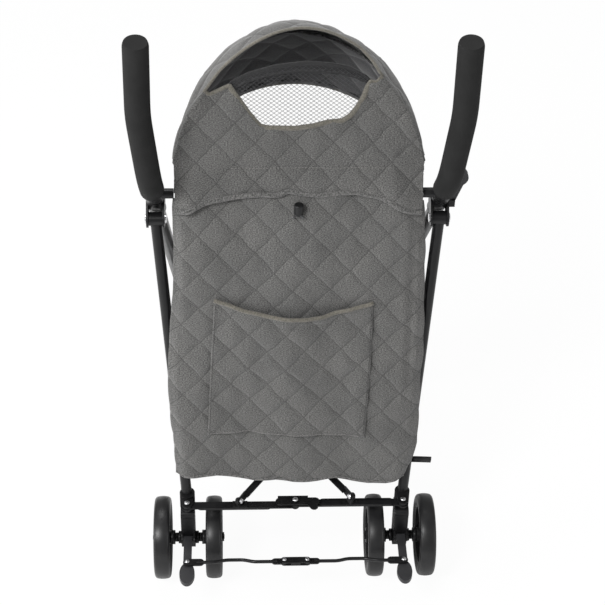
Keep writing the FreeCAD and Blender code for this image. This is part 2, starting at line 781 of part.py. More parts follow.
def arm_pin(side):
    """Pin centre, skew pin axis and opened direction of one cross arm.

    The axis is square to the arm's direction opened and to its direction folded,
    both seen from its crossbar half.
    """
    side_name = "left" if side < 0 else "right"
    pin = Vector(side * size["bar_rivet_x"], size["crossbar_y"], arm_low_z(side) + size["arm_thickness"] / 2)
    tip = Vector(-side * size["arm_end_x"], size["arm_end_y"], pin.z + arm_rise(size["arm_end_y"]))
    opened = (tip - pin).normalize()
    shoulder = Vector(0, size["shoulder_y"], size["shoulder_z"])
    bar_turn = Rotation(Z_AXIS, side * size["bar_fold_degrees"])
    leg_turn = Rotation(X_AXIS, size["fold_degrees"])
    bar_pin = Vector(side * size["rear_leg_x"], size["crossbar_y"], 0)
    on_leg = bar_turn.multVec(pin - bar_pin) + bar_pin
    folded_at = leg_turn.multVec(on_leg - shoulder) + shoulder
    folded = Vector(size[side_name + "_arm_lean_x"],
                    shoulder.y - folded_at.y + size[side_name + "_arm_lean_y"], shoulder.z - folded_at.z)
    seen_from_bar = bar_turn.inverted().multVec(leg_turn.inverted().multVec(folded.normalize()))
    axis = opened.cross(seen_from_bar).normalize()
    return pin, axis, opened


def make_arm_bracket(side, rivet_x, y, top):
    """Riveted foot with one skew ear and the pin that the cross arm folds on."""
    pin, axis, opened = arm_pin(side)
    half = size["arm_thickness"] / 2
    ear_start = half + gap
    foot = Part.makeBox(26, 2 * size["bar_half_width"] - 1, 2.4,
                        Vector(rivet_x - 13, y - size["bar_half_width"] + 0.5, top - 0.4))
    outward = axis * (side if axis.x > 0 else -side)
    root = Vector(pin.x, pin.y, top - 0.4)
    down = (root - pin)
    down = (down - outward * down.dot(outward)).normalize()
    ear_at = pin + outward * ear_start
    ear = Part.makeCylinder(size["arm_half_width"] + 1, 3, ear_at, outward)
    web = Part.makeBox(2 * size["arm_half_width"] + 2, 3, 40, Vector(-size["arm_half_width"] - 1, 0, 0))
    across = outward.cross(down)
    turn = Rotation(across, outward, down, "ZYX")
    web.Placement = Placement(ear_at, turn)
    floor = Part.makeBox(80, 80, 60, Vector(pin.x - 40, pin.y - 40, top - 0.4 - 60))
    web = web.cut(floor)
    post = solid_cylinder(size["arm_pin_radius"], ear_at, pin - outward * (half + gap + 2))
    head_at = pin - outward * (half + gap)
    head = solid_cylinder(size["arm_pin_radius"] + 2, head_at, head_at - outward * 2)
    return foot.multiFuse([ear, web, post, head])


def make_lock_tab():
    """Latch plate on the crossbar's centre pin, with its rounded hook."""
    y = size["crossbar_y"]
    low = bar_low_z(1) + size["bar_thickness"] + 2 + gap
    plate = flat_bar([(-26, y), (34, y)], 8, 2.4, low)
    flange = Part.makeBox(52, 2.2, 7, Vector(-30, y + 5.8, low))
    hook = flat_bar([(24, y), (32, y - 12)], 7, 2.4, low)
    solid = plate.multiFuse([flange, hook])
    solid = solid.cut(upright_hole(0, y, size["centre_pin_radius"] + running, low - 4, low + 8))
    return keep(shape_part("crossbar_lock_tab", solid), "crossbar_lock_tab")


def arm_low_z(side):
    """Underside of a cross arm at its pin: the right arm passes over the left one."""
    base = bar_low_z(-1) + size["bar_thickness"] + size["arm_pin_height"] - size["arm_thickness"] / 2
    return base if side < 0 else base + size["arm_step"]


def make_cross_arm(name, side):
    """Flat arm under the seat from a crossbar half to the main tube on the other side.

    Its near end is twisted on edge into an eye for the skew pin.
    """
    pin, axis, opened = arm_pin(side)
    half = size["arm_half_width"]
    thickness = size["arm_thickness"]
    rise = math.radians(size["arm_rise_degrees"])
    run = (size["arm_end_y"] - pin.y) / math.cos(rise)
    bend_run = (size["arm_bend_y"] - pin.y) / math.cos(rise)
    points = [(0, 0), (side * size["arm_bend_x"] - pin.x, bend_run), (-side * size["arm_end_x"] - pin.x, run)]
    bar = flat_bar(points, half, thickness, -thickness / 2)
    bar.rotate(Vector(0, 0, 0), X_AXIS, size["arm_rise_degrees"])
    near_end = Part.makeCylinder(2.6 * half, 60, Vector(0, 0, -30), Z_AXIS)
    bar = bar.cut(near_end)
    bar.translate(pin)
    first = Vector(points[1][0], points[1][1] * math.cos(rise), points[1][1] * math.sin(rise))
    first = (first - axis * first.dot(axis)).normalize()
    across = axis.cross(first)
    eye = Part.makeCylinder(half + 0.5, thickness, pin - axis * (thickness / 2), axis)
    web = Part.makeBox(3.6 * half, 2 * half - 1, thickness, Vector(0, 0.5 - half, -thickness / 2))
    web.Placement = Placement(pin, Rotation(first, across, axis, "ZXY"))
    bar = bar.multiFuse([eye, web])
    hole = solid_cylinder(size["arm_pin_radius"] + running, pin - axis * thickness, pin + axis * thickness)
    return keep(shape_part("cross_arm_" + name, bar.cut(hole)), "cross_arm_" + name)


def make_seat_rail(name, side):
    """Side rail of the seat: it turns on the main tube and rests on the rear leg's stud."""
    front = point_at_height(side, size["rail_front_z"])
    x = side * size["rail_x"]
    start = Vector(x, front.y, front.z)
    end = Vector(x, size["rail_rear_y"], size["rail_rear_z"])
    radius = size["rail_radius"]
    back = (end - start).normalize()
    path = Part.Wire([Part.LineSegment(start + back * 8, end - back * 6).toShape()])
    tube = swept_tube(path, radius, size["tube_wall"])
    eye = Part.makeCylinder(10, 2 * radius, Vector(x - radius, start.y, start.z), X_AXIS)
    plug = solid_cylinder(radius, end - back * 6, end + back * 2)
    solid = tube.multiFuse([eye, plug, solid_cylinder(radius - 1, start, start + back * 14)])
    hole = Part.makeCylinder(size["axle_radius"] + running, 40, Vector(x - 20, start.y, start.z), X_AXIS)
    return keep(shape_part(name + "_seat_rail", solid.cut(hole)), name + "_seat_rail")


def make_brake_pedal(name, side):
    """Pedal lever: eye on the housing pin, arm back to an oval pad, and the rod's rivet."""
    x = side * size["rear_leg_x"]
    pivot_y = rear_y - size["pedal_pivot_back"]
    pivot_z = size["pedal_pivot_z"]
    eye = Part.makeCylinder(size["pedal_pin_radius"] + 3.5, 16, Vector(x - 8, pivot_y, pivot_z), X_AXIS)
    rod_y = rear_y - size["brake_rod_back"]
    pad_y = rod_y - 14
    pad_top = size["brake_rod_z"] - size["brake_rod_radius"] - 2 * gap
    thickness = size["pedal_thickness"]
    arm = Part.makeBox(14, pivot_y - pad_y, 6, Vector(x - 7, pad_y, pad_top - thickness))
    ellipse = Part.Ellipse(Vector(0, 0, 0), size["pedal_length"] / 2, size["pedal_half_width"])
    face = Part.Face(Part.Wire([ellipse.toShape()]))
    face.rotate(Vector(0, 0, 0), Z_AXIS, 90)
    pedal = face.extrude(Vector(0, 0, thickness))
    pedal.translate(Vector(x, pad_y - 6, pad_top - thickness))
    link = size["link_thickness"]
    eye_low = size["brake_rod_z"] - link / 2
    spacer = upright_hole(x, rod_y, 5, pad_top - 1, eye_low - gap)
    rivet = upright_hole(x, rod_y, size["rivet_radius"], pad_top - 1, eye_low + link + gap + 2)
    cap = upright_hole(x, rod_y, 5, eye_low + link + gap, eye_low + link + gap + 2)
    solid = eye.multiFuse([arm, pedal, spacer, rivet, cap])
    solid = solid.cut(Part.makeCylinder(size["pedal_pin_radius"] + running, 30,
                                        Vector(x - 15, pivot_y, pivot_z), X_AXIS))
    return keep(shape_part("brake_pedal_" + name, solid), "brake_pedal_" + name)


def make_brake_rod(name, side):
    """Link rod with a flattened eye at each end."""
    x = side * size["rear_leg_x"]
    y = rear_y - size["brake_rod_back"]
    z = size["brake_rod_z"]
    end_x = side * size["sleeve_rivet_x"]
    radius = size["brake_rod_radius"]
    link = size["link_thickness"]
    eye_out = flat_bar([(x, y), (x - side * 22, y)], 7, link, z - link / 2)
    eye_in = flat_bar([(end_x, y), (end_x + side * 16, y)], 6, link, z - link / 2)
    path = rounded_path([
        Vector(x - side * 16, y, z), Vector(x - side * 48, y, z), Vector(x - side * 66, y + 8, z - 4),
        Vector(x - side * 96, y + 8, z - 4), Vector(x - side * 114, y, z), Vector(end_x + side * 12, y, z),
    ], [26, 26, 26, 26])
    bar = swept_rod(path, radius)
    solid = bar.multiFuse([eye_out, eye_in])
    rivet = size["rivet_radius"]
    solid = solid.cut(upright_hole(x, y, rivet + running, z - 6, z + 6))
    hole = rivet + (running if side < 0 else 1.3)
    solid = solid.cut(upright_hole(end_x, y, hole, z - 6, z + 6))
    return keep(shape_part("brake_rod_" + name, solid), "brake_rod_" + name)


def make_brake_sleeve():
    """Two plates and a web that join the rods in the middle, with both rivets."""
    y = rear_y - size["brake_rod_back"]
    z = size["brake_rod_z"]
    half = size["sleeve_rivet_x"]
    plates = [flat_bar([(-half, y), (half, y)], 6.5, 2, level) for level in (z - 4, z + 2)]
    web = Part.makeBox(16, 13, 8, Vector(-8, y - 6.5, z - 4))
    rivets = []
    for facing in (-1, 1):
        rivets.append(upright_hole(facing * half, y, size["rivet_radius"], z - 5, z + 5))
        rivets.append(upright_hole(facing * half, y, 4, z + 4, z + 5.4))
    return keep(shape_part("brake_sleeve", web.multiFuse(plates + rivets)), "brake_sleeve")


def make_transport_lever():
    """Lock lever outside the right shoulder, curved up to a rounded thumb end."""
    low, beside, bend, middle, top, heading = main_line(1)
    y = beside.y
    x = lever_pin_x()
    z = beside.z
    face = Part.Face(lever_outline(x, z))
    face.translate(Vector(0, y - 5, 0))
    hub = Part.makeCylinder(5, 10, Vector(x, y - 5, z), Y_AXIS)
    lever = face.extrude(Vector(0, 10, 0)).fuse(hub)
    bore = Part.makeCylinder(3 + running, 30, Vector(x, y - 15, z), Y_AXIS)
    return keep(shape_part("transport_lever", lever.cut(bore)), "transport_lever")


def lever_pin_x():
    """Place of the transport lever's pin outside the right bracket's cheek."""
    beside = main_line(1)[1]
    return beside.x + size["main_tube_radius"] + gap + size["bracket_wall"] + 5 + 2 * gap


def lever_outline(x, z):
    """Side outline of the transport lever in the X-Z plane."""
    return Part.Wire([
        Part.LineSegment(Vector(x - 3, 0, z + 3), Vector(x + 4, 0, z - 1)).toShape(),
        Part.LineSegment(Vector(x + 4, 0, z - 1), Vector(x + 16, 0, z + 34)).toShape(),
        Part.Arc(Vector(x + 16, 0, z + 34), Vector(x + 23, 0, z + 44), Vector(x + 20, 0, z + 56)).toShape(),
        Part.Arc(Vector(x + 20, 0, z + 56), Vector(x + 15, 0, z + 58), Vector(x + 12, 0, z + 52)).toShape(),
        Part.Arc(Vector(x + 12, 0, z + 52), Vector(x + 14, 0, z + 46), Vector(x + 7, 0, z + 38)).toShape(),
        Part.LineSegment(Vector(x + 7, 0, z + 38), Vector(x - 3, 0, z + 3)).toShape(),
    ])


def make_lever_mount():
    """Ear block on the right bracket that carries the transport lever's pin."""
    low, beside, bend, middle, top, heading = main_line(1)
    face_x = beside.x + size["main_tube_radius"] + gap + size["bracket_wall"]
    ears = []
    for start in (beside.y - 9, beside.y + 5 + gap):
        ears.append(Part.makeBox(12, 4 - gap, 12, Vector(face_x - 1.5, start, beside.z - 6)))
    pin = Part.makeCylinder(3, 18, Vector(lever_pin_x(), beside.y - 9, beside.z), Y_AXIS)
    return ears[0].multiFuse([ears[1], pin])


# Soft parts

def ellipse_band(outer_x, outer_r, thickness):
    """Half ring between two ellipses over the canopy's hinge line."""
    edges = []
    for half_x, radius in ((outer_x, outer_r), (outer_x - thickness, outer_r - thickness)):
        long_end, short_end = Vector(0, radius, 0), Vector(-half_x, 0, 0)
        if half_x >= radius:
            long_end, short_end = Vector(half_x, 0, 0), Vector(0, radius, 0)
        ellipse = Part.Ellipse(long_end, short_end, Vector(0, 0, 0))
        start = ellipse.parameter(Vector(half_x, 0, 0))
        middle = ellipse.parameter(Vector(0, radius, 0))
        end = ellipse.parameter(Vector(-half_x, 0, 0))
        edges.append(ellipse_arc(ellipse, start, middle, end))
    right = Part.LineSegment(Vector(outer_x - thickness, 0, 0), Vector(outer_x, 0, 0)).toShape()
    left = Part.LineSegment(Vector(-outer_x, 0, 0), Vector(-outer_x + thickness, 0, 0)).toShape()
    return Part.Face(Part.Wire(Part.__sortEdges__(edges + [right, left])))


def ellipse_arc(ellipse, start, middle, end):
    """The part of an ellipse from start to end that passes the middle."""
    full = 2 * math.pi
    if (middle - start) % full < (end - start) % full:
        return Part.ArcOfEllipse(ellipse, start, start + (end - start) % full).toShape()
    return Part.ArcOfEllipse(ellipse, end, end + (start - end) % full).toShape()


def fan_shell(half_x, radius, thickness, from_angle, to_angle):
    """Curved sheet swept about the canopy's hinge line, angles up from straight ahead."""
    face = ellipse_band(half_x, radius, thickness)
    face.rotate(Vector(0, 0, 0), X_AXIS, from_angle)
    shell = face.revolve(Vector(0, 0, 0), X_AXIS, to_angle - from_angle)
    shell.translate(Vector(0, size["canopy_y"], size["canopy_z"]))
    return shell


def flap_tilt(solid):
    """Lean a sheet drawn upright in the X-Z plane forward, onto the line from the seam to the band."""
    solid.rotate(Vector(0, 0, 0), X_AXIS, -size["flap_lean_degrees"])
    solid.translate(Vector(0, size["back_top_y"], size["back_top_z"] + gap))
    return solid


def window_outline(inset):
    """Wire of the mesh window in the flap's own plane, drawn in by an inset."""
    low = size["window_low"] + inset
    side_up = size["band_side_height"] - size["band_width"] - inset
    top = size["band_height"] - size["band_width"] - inset
    wide = size["roof_gap_half_width"] - size["band_width"] - inset
    narrow = wide - 42
    left_mid = Vector(-wide + 11, 0, low + (side_up - low) * 0.42)
    right_mid = Vector(wide - 11, 0, low + (side_up - low) * 0.42)
    return Part.Wire([
        Part.Arc(Vector(-wide, 0, side_up), left_mid, Vector(-narrow, 0, low)).toShape(),
        Part.LineSegment(Vector(-narrow, 0, low), Vector(narrow, 0, low)).toShape(),
        Part.Arc(Vector(narrow, 0, low), right_mid, Vector(wide, 0, side_up)).toShape(),
        Part.Arc(Vector(wide, 0, side_up), Vector(0, 0, top), Vector(-wide, 0, side_up)).toShape(),
    ])


def ellipsoid(half_x, radius):
    """The solid under the whole canopy, about its hinge line."""
    ellipse = Part.Ellipse(Vector(0, radius, 0), Vector(-half_x, 0, 0), Vector(0, 0, 0))
    start = ellipse.parameter(Vector(half_x, 0, 0))
    middle = ellipse.parameter(Vector(0, radius, 0))
    end = ellipse.parameter(Vector(-half_x, 0, 0))
    arch = ellipse_arc(ellipse, start, middle, end)
    base = Part.LineSegment(Vector(-half_x, 0, 0), Vector(half_x, 0, 0)).toShape()
    solid = Part.Face(Part.Wire([arch, base])).revolve(Vector(0, 0, 0), X_AXIS, 360)
    solid.translate(Vector(0, size["canopy_y"], size["canopy_z"]))
    return solid


def make_canopy():
    """Hood behind the fold line with the open roof gap, and the back flap with its window."""
    half = size["canopy_half_width"]
    radius = size["canopy_radius"]
    cloth = size["cloth"]
    trim = 7
    hood = fan_shell(half, radius, cloth, size["hood_split_angle"], size["hood_back_angle"])
    side_trim = Part.makeBox(2 * (half - trim), 900, 900, Vector(trim - half, -450, size["back_top_z"] + gap))
    hood = hood.common(side_trim)
    behind = flap_tilt(Part.makeBox(900, 400, 600, Vector(-450, -400, -100)))
    hood = hood.cut(behind)
    hem = math.radians(size["hood_rear_angle"])
    gap_half = size["roof_gap_half_width"]
    front_y = size["canopy_y"] + radius * math.cos(hem)
    opening = Part.makeBox(2 * gap_half, 400, 200,
                           Vector(-gap_half, front_y - 400, size["canopy_z"] + radius * 0.5))
    hood = hood.cut(opening)
    sheet_solid = flap_tilt(Part.makeBox(2 * (half - trim), cloth, radius, Vector(trim - half, 0, 0)))
    sheet_solid = sheet_solid.common(ellipsoid(half, radius)).common(side_trim)
    above = Part.Wire([
        Part.Arc(Vector(-gap_half, 0, size["band_side_height"]), Vector(0, 0, size["band_height"]),
                 Vector(gap_half, 0, size["band_side_height"])).toShape(),
        Part.LineSegment(Vector(gap_half, 0, size["band_side_height"]), Vector(gap_half, 0, 400)).toShape(),
        Part.LineSegment(Vector(gap_half, 0, 400), Vector(-gap_half, 0, 400)).toShape(),
        Part.LineSegment(Vector(-gap_half, 0, 400), Vector(-gap_half, 0, size["band_side_height"])).toShape(),
    ])
    above_band = Part.Face(above).extrude(Vector(0, 20, 0))
    above_band.translate(Vector(0, -5, 0))
    window = Part.Face(window_outline(0)).extrude(Vector(0, 20, 0))
    window.translate(Vector(0, -5, 0))
    sheet_solid = sheet_solid.cut(flap_tilt(above_band)).cut(flap_tilt(window))
    return keep(shape_part("canopy", hood.fuse(sheet_solid)), "canopy")


def make_canopy_mesh():
    """Net in the flap's window: one face with rows of diamond gaps."""
    outline = window_outline(-3)
    safe = Part.Face(window_outline(3))
    pitch = size["net_pitch"]
    half = pitch / 2 - size["net_cord"] / 2
    rings = []
    rows = int(2 * size["band_height"] / pitch)
    columns = int(size["roof_gap_half_width"] / pitch) + 1
    for row in range(rows):
        for column in range(-columns, columns + 1):
            x = (column + 0.5 * (row % 2)) * pitch
            z = row * pitch / 2
            corners = [Vector(x - half, 0, z), Vector(x, 0, z + half),
                       Vector(x + half, 0, z), Vector(x, 0, z - half)]
            if all(safe.isInside(corner, 0.01, True) for corner in corners):
                rings.append(Part.makePolygon(corners + corners[:1]))
    net = Part.Face([outline] + rings).extrude(Vector(0, 1, 0))
    net.translate(Vector(0, size["cloth"] + gap, 0))
    return keep(shape_part("canopy_mesh", flap_tilt(net)), "canopy_mesh")


def make_canopy_front():
    half = size["canopy_half_width"]
    radius = size["canopy_radius"]
    shell = fan_shell(half, radius, size["cloth"], size["hood_front_angle"], size["hood_split_angle"] - 0.3)
    trim = 7
    side_trim = Part.makeBox(2 * (half - trim), 900, 900, Vector(trim - half, -450, 0))
    return keep(shape_part("canopy_front", shell.common(side_trim)), "canopy_front")


def make_bow(label, angle, rod_radius):
    """Thin bow under the cloth from one clip to the other."""
    inset = size["cloth"] + rod_radius + 2 * gap
    half = size["canopy_half_width"] - inset
    radius = size["canopy_radius"] - inset
    ellipse = Part.Ellipse(Vector(0, radius, 0), Vector(-half, 0, 0), Vector(0, 0, 0))
    start = ellipse.parameter(Vector(half, 0, 0))
    middle = ellipse.parameter(Vector(0, radius, 0))
    end = ellipse.parameter(Vector(-half, 0, 0))
    path = Part.Wire([ellipse_arc(ellipse, start, middle, end)])
    bar = swept_rod(path, rod_radius)
    bar.rotate(Vector(0, 0, 0), X_AXIS, angle)
    bar.translate(Vector(0, size["canopy_y"], size["canopy_z"]))
    return keep(shape_part(label, bar), label)


def wavy_profile(half, y, z, thickness, depth, folds):
    """Closed outline of a hanging cloth at one height: arcs that bow back and forth."""
    step = 2 * half / folds
    rear = []
    front = []
    for index in range(folds):
        left = -half + index * step
        bow = depth if index % 2 == 0 else -depth
        rear.append(Part.Arc(Vector(left, y, z), Vector(left + step / 2, y - bow, z),
                             Vector(left + step, y, z)).toShape())
        front.append(Part.Arc(Vector(left, y + thickness, z), Vector(left + step / 2, y + thickness - bow, z),
                              Vector(left + step, y + thickness, z)).toShape())
    left_end = Part.LineSegment(Vector(-half, y + thickness, z), Vector(-half, y, z)).toShape()
    right_end = Part.LineSegment(Vector(half, y, z), Vector(half, y + thickness, z)).toShape()
    return Part.Wire([left_end] + rear + [right_end] + list(reversed(front)))


def back_y(z):
    """Mean rear face of the hanging back cloth at a height."""
    share = (size["back_top_z"] - z) / (size["back_top_z"] - size["back_low_z"])
    return size["back_top_y"] + (size["back_low_y"] - size["back_top_y"]) * share


def back_fold(z):
    """Depth of the back cloth's folds, deeper towards the hem."""
    share = (size["back_top_z"] - z) / (size["back_top_z"] - size["back_low_z"])
    return size["back_top_fold"] + (size["back_low_fold"] - size["back_top_fold"]) * share


def make_back_cloth():
    """Hanging back panel whose folds deepen towards the hem."""
    sections = []
    for z, half in ((size["back_top_z"], size["back_top_half_width"]),
                    (size["back_low_z"], size["back_low_half_width"])):
        sections.append(wavy_profile(half, back_y(z), z, size["cloth"], back_fold(z), 5))
    return shape_part("back_cloth", Part.makeLoft(sections, True, True))


def make_back_pocket():
    """Patch pocket on the back panel that stands away from it towards its open top."""
    sections = []
    for z, half, slack in ((size["pocket_top_z"], size["pocket_top_half_width"], 5),
                           (size["pocket_low_z"], size["pocket_low_half_width"], 3)):
        y = back_y(z) - gap - size["pocket_cloth"]
        sections.append(wavy_profile(half, y, z, size["pocket_cloth"], back_fold(z) + slack, 1))
    return shape_part("back_pocket", Part.makeLoft(sections, True, True))


def cushion_ring(half, thickness, along, crown):
    """Section of a cushion: crowned top and bottom with rounded, drawn-in sides."""
    low = thickness * 0.5
    bulge = half + size["cushion_bulge"]
    return Part.Wire([
        Part.Arc(Vector(-half, along, -low * 0.5), Vector(0, along, -low),
                 Vector(half, along, -low * 0.5)).toShape(),
        Part.Arc(Vector(half, along, -low * 0.5), Vector(bulge, along, 0),
                 Vector(half, along, low * 0.5)).toShape(),
        Part.Arc(Vector(half, along, low * 0.5), Vector(0, along, low + crown),
                 Vector(-half, along, low * 0.5)).toShape(),
        Part.Arc(Vector(-half, along, low * 0.5), Vector(-bulge, along, 0),
                 Vector(-half, along, -low * 0.5)).toShape(),
    ])


def cushion(half, length, thickness, channels):
    """Padded cushion along +Y with sewn channels across it and pulled-in ends."""
    rings = []
    steps = 2 * channels
    for index in range(steps + 1):
        along = length * index / steps
        edge = index in (0, steps)
        valley = index % 2 == 0
        thick = thickness * (0.45 if edge else 0.72 if valley else 1.0)
        drawn = half - (9 if edge else 3 if valley else 0)
        rings.append(cushion_ring(drawn, thick, along, 0 if edge else size["cushion_crown"]))
    return Part.makeLoft(rings, True, True)


def cushion_half_width():
    """Half width that leaves the cushion's bulging sides just clear of the seat rails."""
    return size["rail_x"] - size["rail_radius"] - gap - size["cushion_bulge"]


def seat_front_y():
    return point_at_height(1, size["rail_front_z"]).y + 6


def seat_slope():
    """Tangent of the seat's slope, which is that of its rails."""
    front = point_at_height(1, size["rail_front_z"])
    return (front.z - size["rail_rear_z"]) / (front.y - size["rail_rear_y"])


def seat_middle_z(y):
    """Height of the seat cushion's middle plane."""
    return size["rail_rear_z"] + size["seat_lift"] + (y - size["rail_rear_y"]) * seat_slope()


def seat_top_z(y):
    """Height of the seat cushion's crown."""
    return seat_middle_z(y) + size["seat_thickness"] / 2 + size["cushion_crown"]


def make_seat_pad():
    """Seat cushion between the rails, sloping down to the back."""
    solid = cushion(cushion_half_width(), size["seat_length"], size["seat_thickness"], 4)
    solid.rotate(Vector(0, 0, 0), X_AXIS, math.degrees(math.atan(seat_slope())))
    rear = seat_front_y() - size["seat_length"]
    return keep(shape_part("seat_pad", solid, Vector(0, rear, seat_middle_z(rear))), "seat_pad")


def backrest_y():
    """Middle plane of the backrest cushion."""
    return size["back_top_y"] + size["backrest_forward"]


def backrest_low_z():
    """Lower end of the backrest, just clear of the seat cushion."""
    return seat_top_z(backrest_y() + size["backrest_thickness"] / 4) + gap


def backrest_front_y(x):
    """Front face of the backrest's channels at a distance from its middle."""
    half_thickness = size["backrest_thickness"] / 2
    drop = (half_thickness / 2 + size["cushion_crown"]) * (x / cushion_half_width()) ** 2
    return backrest_y() + half_thickness + size["cushion_crown"] - drop


def make_backrest():
    """Upright cushion in front of the back panel, its crowned face to the front."""
    solid = cushion(cushion_half_width(), size["backrest_height"], size["backrest_thickness"], 5)
    solid.rotate(Vector(0, 0, 0), X_AXIS, 90)
    solid.rotate(Vector(0, 0, 0), Z_AXIS, 180)
    return keep(shape_part("backrest_pad", solid, Vector(0, backrest_y(), backrest_low_z())), "backrest_pad")


def make_calf_rest():
    """Cloth that hangs from the seat's front edge to the foot strap."""
    top = Vector(0, seat_front_y() + 1 + gap, size["rail_front_z"] + 2)
    sections = [
        wavy_profile(size["calf_top_half_width"], top.y, top.z, size["cloth"], 1, 3),
        wavy_profile(size["calf_low_half_width"], top.y + size["calf_reach"], top.z - size["calf_drop"],
                     size["cloth"], 4, 3),
    ]
    return keep(shape_part("calf_rest", Part.makeLoft(sections, True, True)), "calf_rest")


def make_foot_strap():
    """Webbing loop between the front tubes that holds the feet."""
    z = size["foot_strap_z"]
    width = size["foot_strap_width"]
    y = point_at_height(1, z).y
    half = abs(point_at_height(1, z).x) - size["main_tube_radius"] - gap
    band = Part.makeBox(2 * half, width, 3, Vector(-half, y - width / 2, z))
    return keep(shape_part("foot_strap", band), "foot_strap")


def make_harness():
    """Two shoulder straps down the backrest, and the buckle on its crotch strap on the seat."""
    strap_x = size["strap_x"]
    half = size["strap_width"] / 2
    face_y = backrest_front_y(strap_x - half) + gap
    straps = []
    for facing in (-1, 1):
        straps.append(Part.makeBox(2 * half, 2, size["strap_length"],
                                   Vector(facing * strap_x - half, face_y, backrest_low_z() + 90)))
    keep(shape_part("harness_straps", Part.makeCompound(straps)), "harness_straps")
    depth = size["buckle_length"]
    buckle = Part.makeBox(size["buckle_width"], depth, 14, Vector(-size["buckle_width"] / 2, -depth / 2, 0))
    buckle = buckle.makeFillet(5, buckle.Edges)
    buckle.rotate(Vector(0, 0, 0), X_AXIS, math.degrees(math.atan(seat_slope())))
    base = Vector(0, size["buckle_y"], seat_top_z(size["buckle_y"]) + gap)
    keep(shape_part("harness_buckle", buckle, base), "harness_buckle")


def make_cord_toggle():
    """Spring toggle on the draw cord in the middle of the seam."""
    radius = size["toggle_radius"]
    low = size["back_top_z"] - 20
    y = back_y(low) - back_fold(low) - gap - radius
    barrel = Part.makeCylinder(radius, 20, Vector(0, y, low), Z_AXIS)
    barrel = barrel.makeFillet(2, barrel.Edges)
    hole = Part.makeCylinder(2.2, 30, Vector(-15, y, low + 10), X_AXIS)
    return keep(shape_part("cord_toggle", barrel.cut(hole)), "cord_toggle")


# Assembly

for name, side in SIDES:
    make_main_tube(name, side)
    make_grip(name, side)
    bracket = make_shoulder_bracket(name, side)
    if side > 0:
        bracket.Shape = bracket.Shape.fuse(make_lever_mount())
    make_shoulder_pin(name, side)
    make_canopy_clip(name, side)
    make_caster_head(name, side)
    make_front_fork(name, side)
    make_rear_leg(name, side)
    make_rear_housing(name, side)
    make_crossbar(name, side)
    make_cross_arm(name, side)
    make_seat_rail(name, side)
    make_brake_pedal(name, side)
    make_brake_rod(name, side)
    rear_centre = Vector(side * size["rear_leg_x"], rear_y, axle_z)
    make_axle(name + "_rear_axle", rear_centre, size["rear_twin_offset"], size["hub_half_width"],
              size["housing_half_width"])
    for place, facing in (("inner", -side), ("outer", side)):
        centre = rear_centre + X_AXIS * facing * size["rear_twin_offset"]
        wheel = f"{name}_rear_{place}"
        keep(make_tyre(wheel + "_tyre", centre, size["tyre_width"] / 2), wheel + "_tyre")
        rim = make_rim(wheel + "_rim", centre, size["tyre_width"] / 2, size["hub_half_width"], running)
        keep(rim, wheel + "_rim")
    front_centre = Vector(side * size["front_tube_x"], size["swivel_y"] - size["front_trail"], axle_z)
    make_axle(name + "_front_axle", front_centre, size["front_twin_offset"],
              size["front_hub_half_width"],
              size["front_twin_offset"] - size["front_tyre_width"] / 2 - size["fork_play"])
    tyres = []
    rims = []
    for facing in (-1, 1):
        centre = front_centre + X_AXIS * facing * size["front_twin_offset"]
        wheel = f"{name}_front_{facing + 1}"
        tyres.append(make_tyre(wheel + "_tyre", centre, size["front_tyre_width"] / 2))
        rims.append(make_rim(wheel + "_rim", centre, size["front_tyre_width"] / 2,
                             size["front_hub_half_width"], fit / 2))
    keep(group(name + "_front_tyres", tyres), name + "_front_tyres")
    keep(group(name + "_front_rims", rims), name + "_front_rims")

make_lock_tab()
make_brake_sleeve()
make_transport_lever()
make_canopy()
make_canopy_front()
make_canopy_mesh()
make_bow("canopy_bow_front", size["hood_front_angle"] + 3, 3)
make_bow("canopy_bow_rear", size["hood_rear_angle"] - 3, 2.5)
keep(group("back_panel", [make_back_cloth(), make_back_pocket()]), "back_panel")
make_seat_pad()
make_backrest()
make_calf_rest()
make_foot_strap()
make_harness()
make_cord_toggle()

doc.recompute()

# Every object is sound before anything is written

for thing in doc.Objects:
    if "Invalid" in thing.State or "Error" in thing.State:
        raise RuntimeError(f"{thing.Name} did not compute: {thing.State}")
for thing in nodes:
    if thing.Shape.isNull() or not thing.Shape.isValid():
        raise RuntimeError(f"{thing.Label} has no sound shape")

box = FreeCAD.BoundBox()
for thing in nodes:
    thing.Shape.exportStep(os.path.join("parts", thing.Label + ".step"))
    box.add(thing.Shape.BoundBox)
    print(f"{thing.Label:28s} solids {len(thing.Shape.Solids)}  volume {thing.Shape.Volume:12.1f}")
print(f"{len(nodes)} sub-parts, box {box}")
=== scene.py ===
"""Umbrella stroller seen from behind: cloth, foam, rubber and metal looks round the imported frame."""

import json
import math

import bmesh
import bpy
import numpy as np
from mathutils import Matrix, Vector, noise


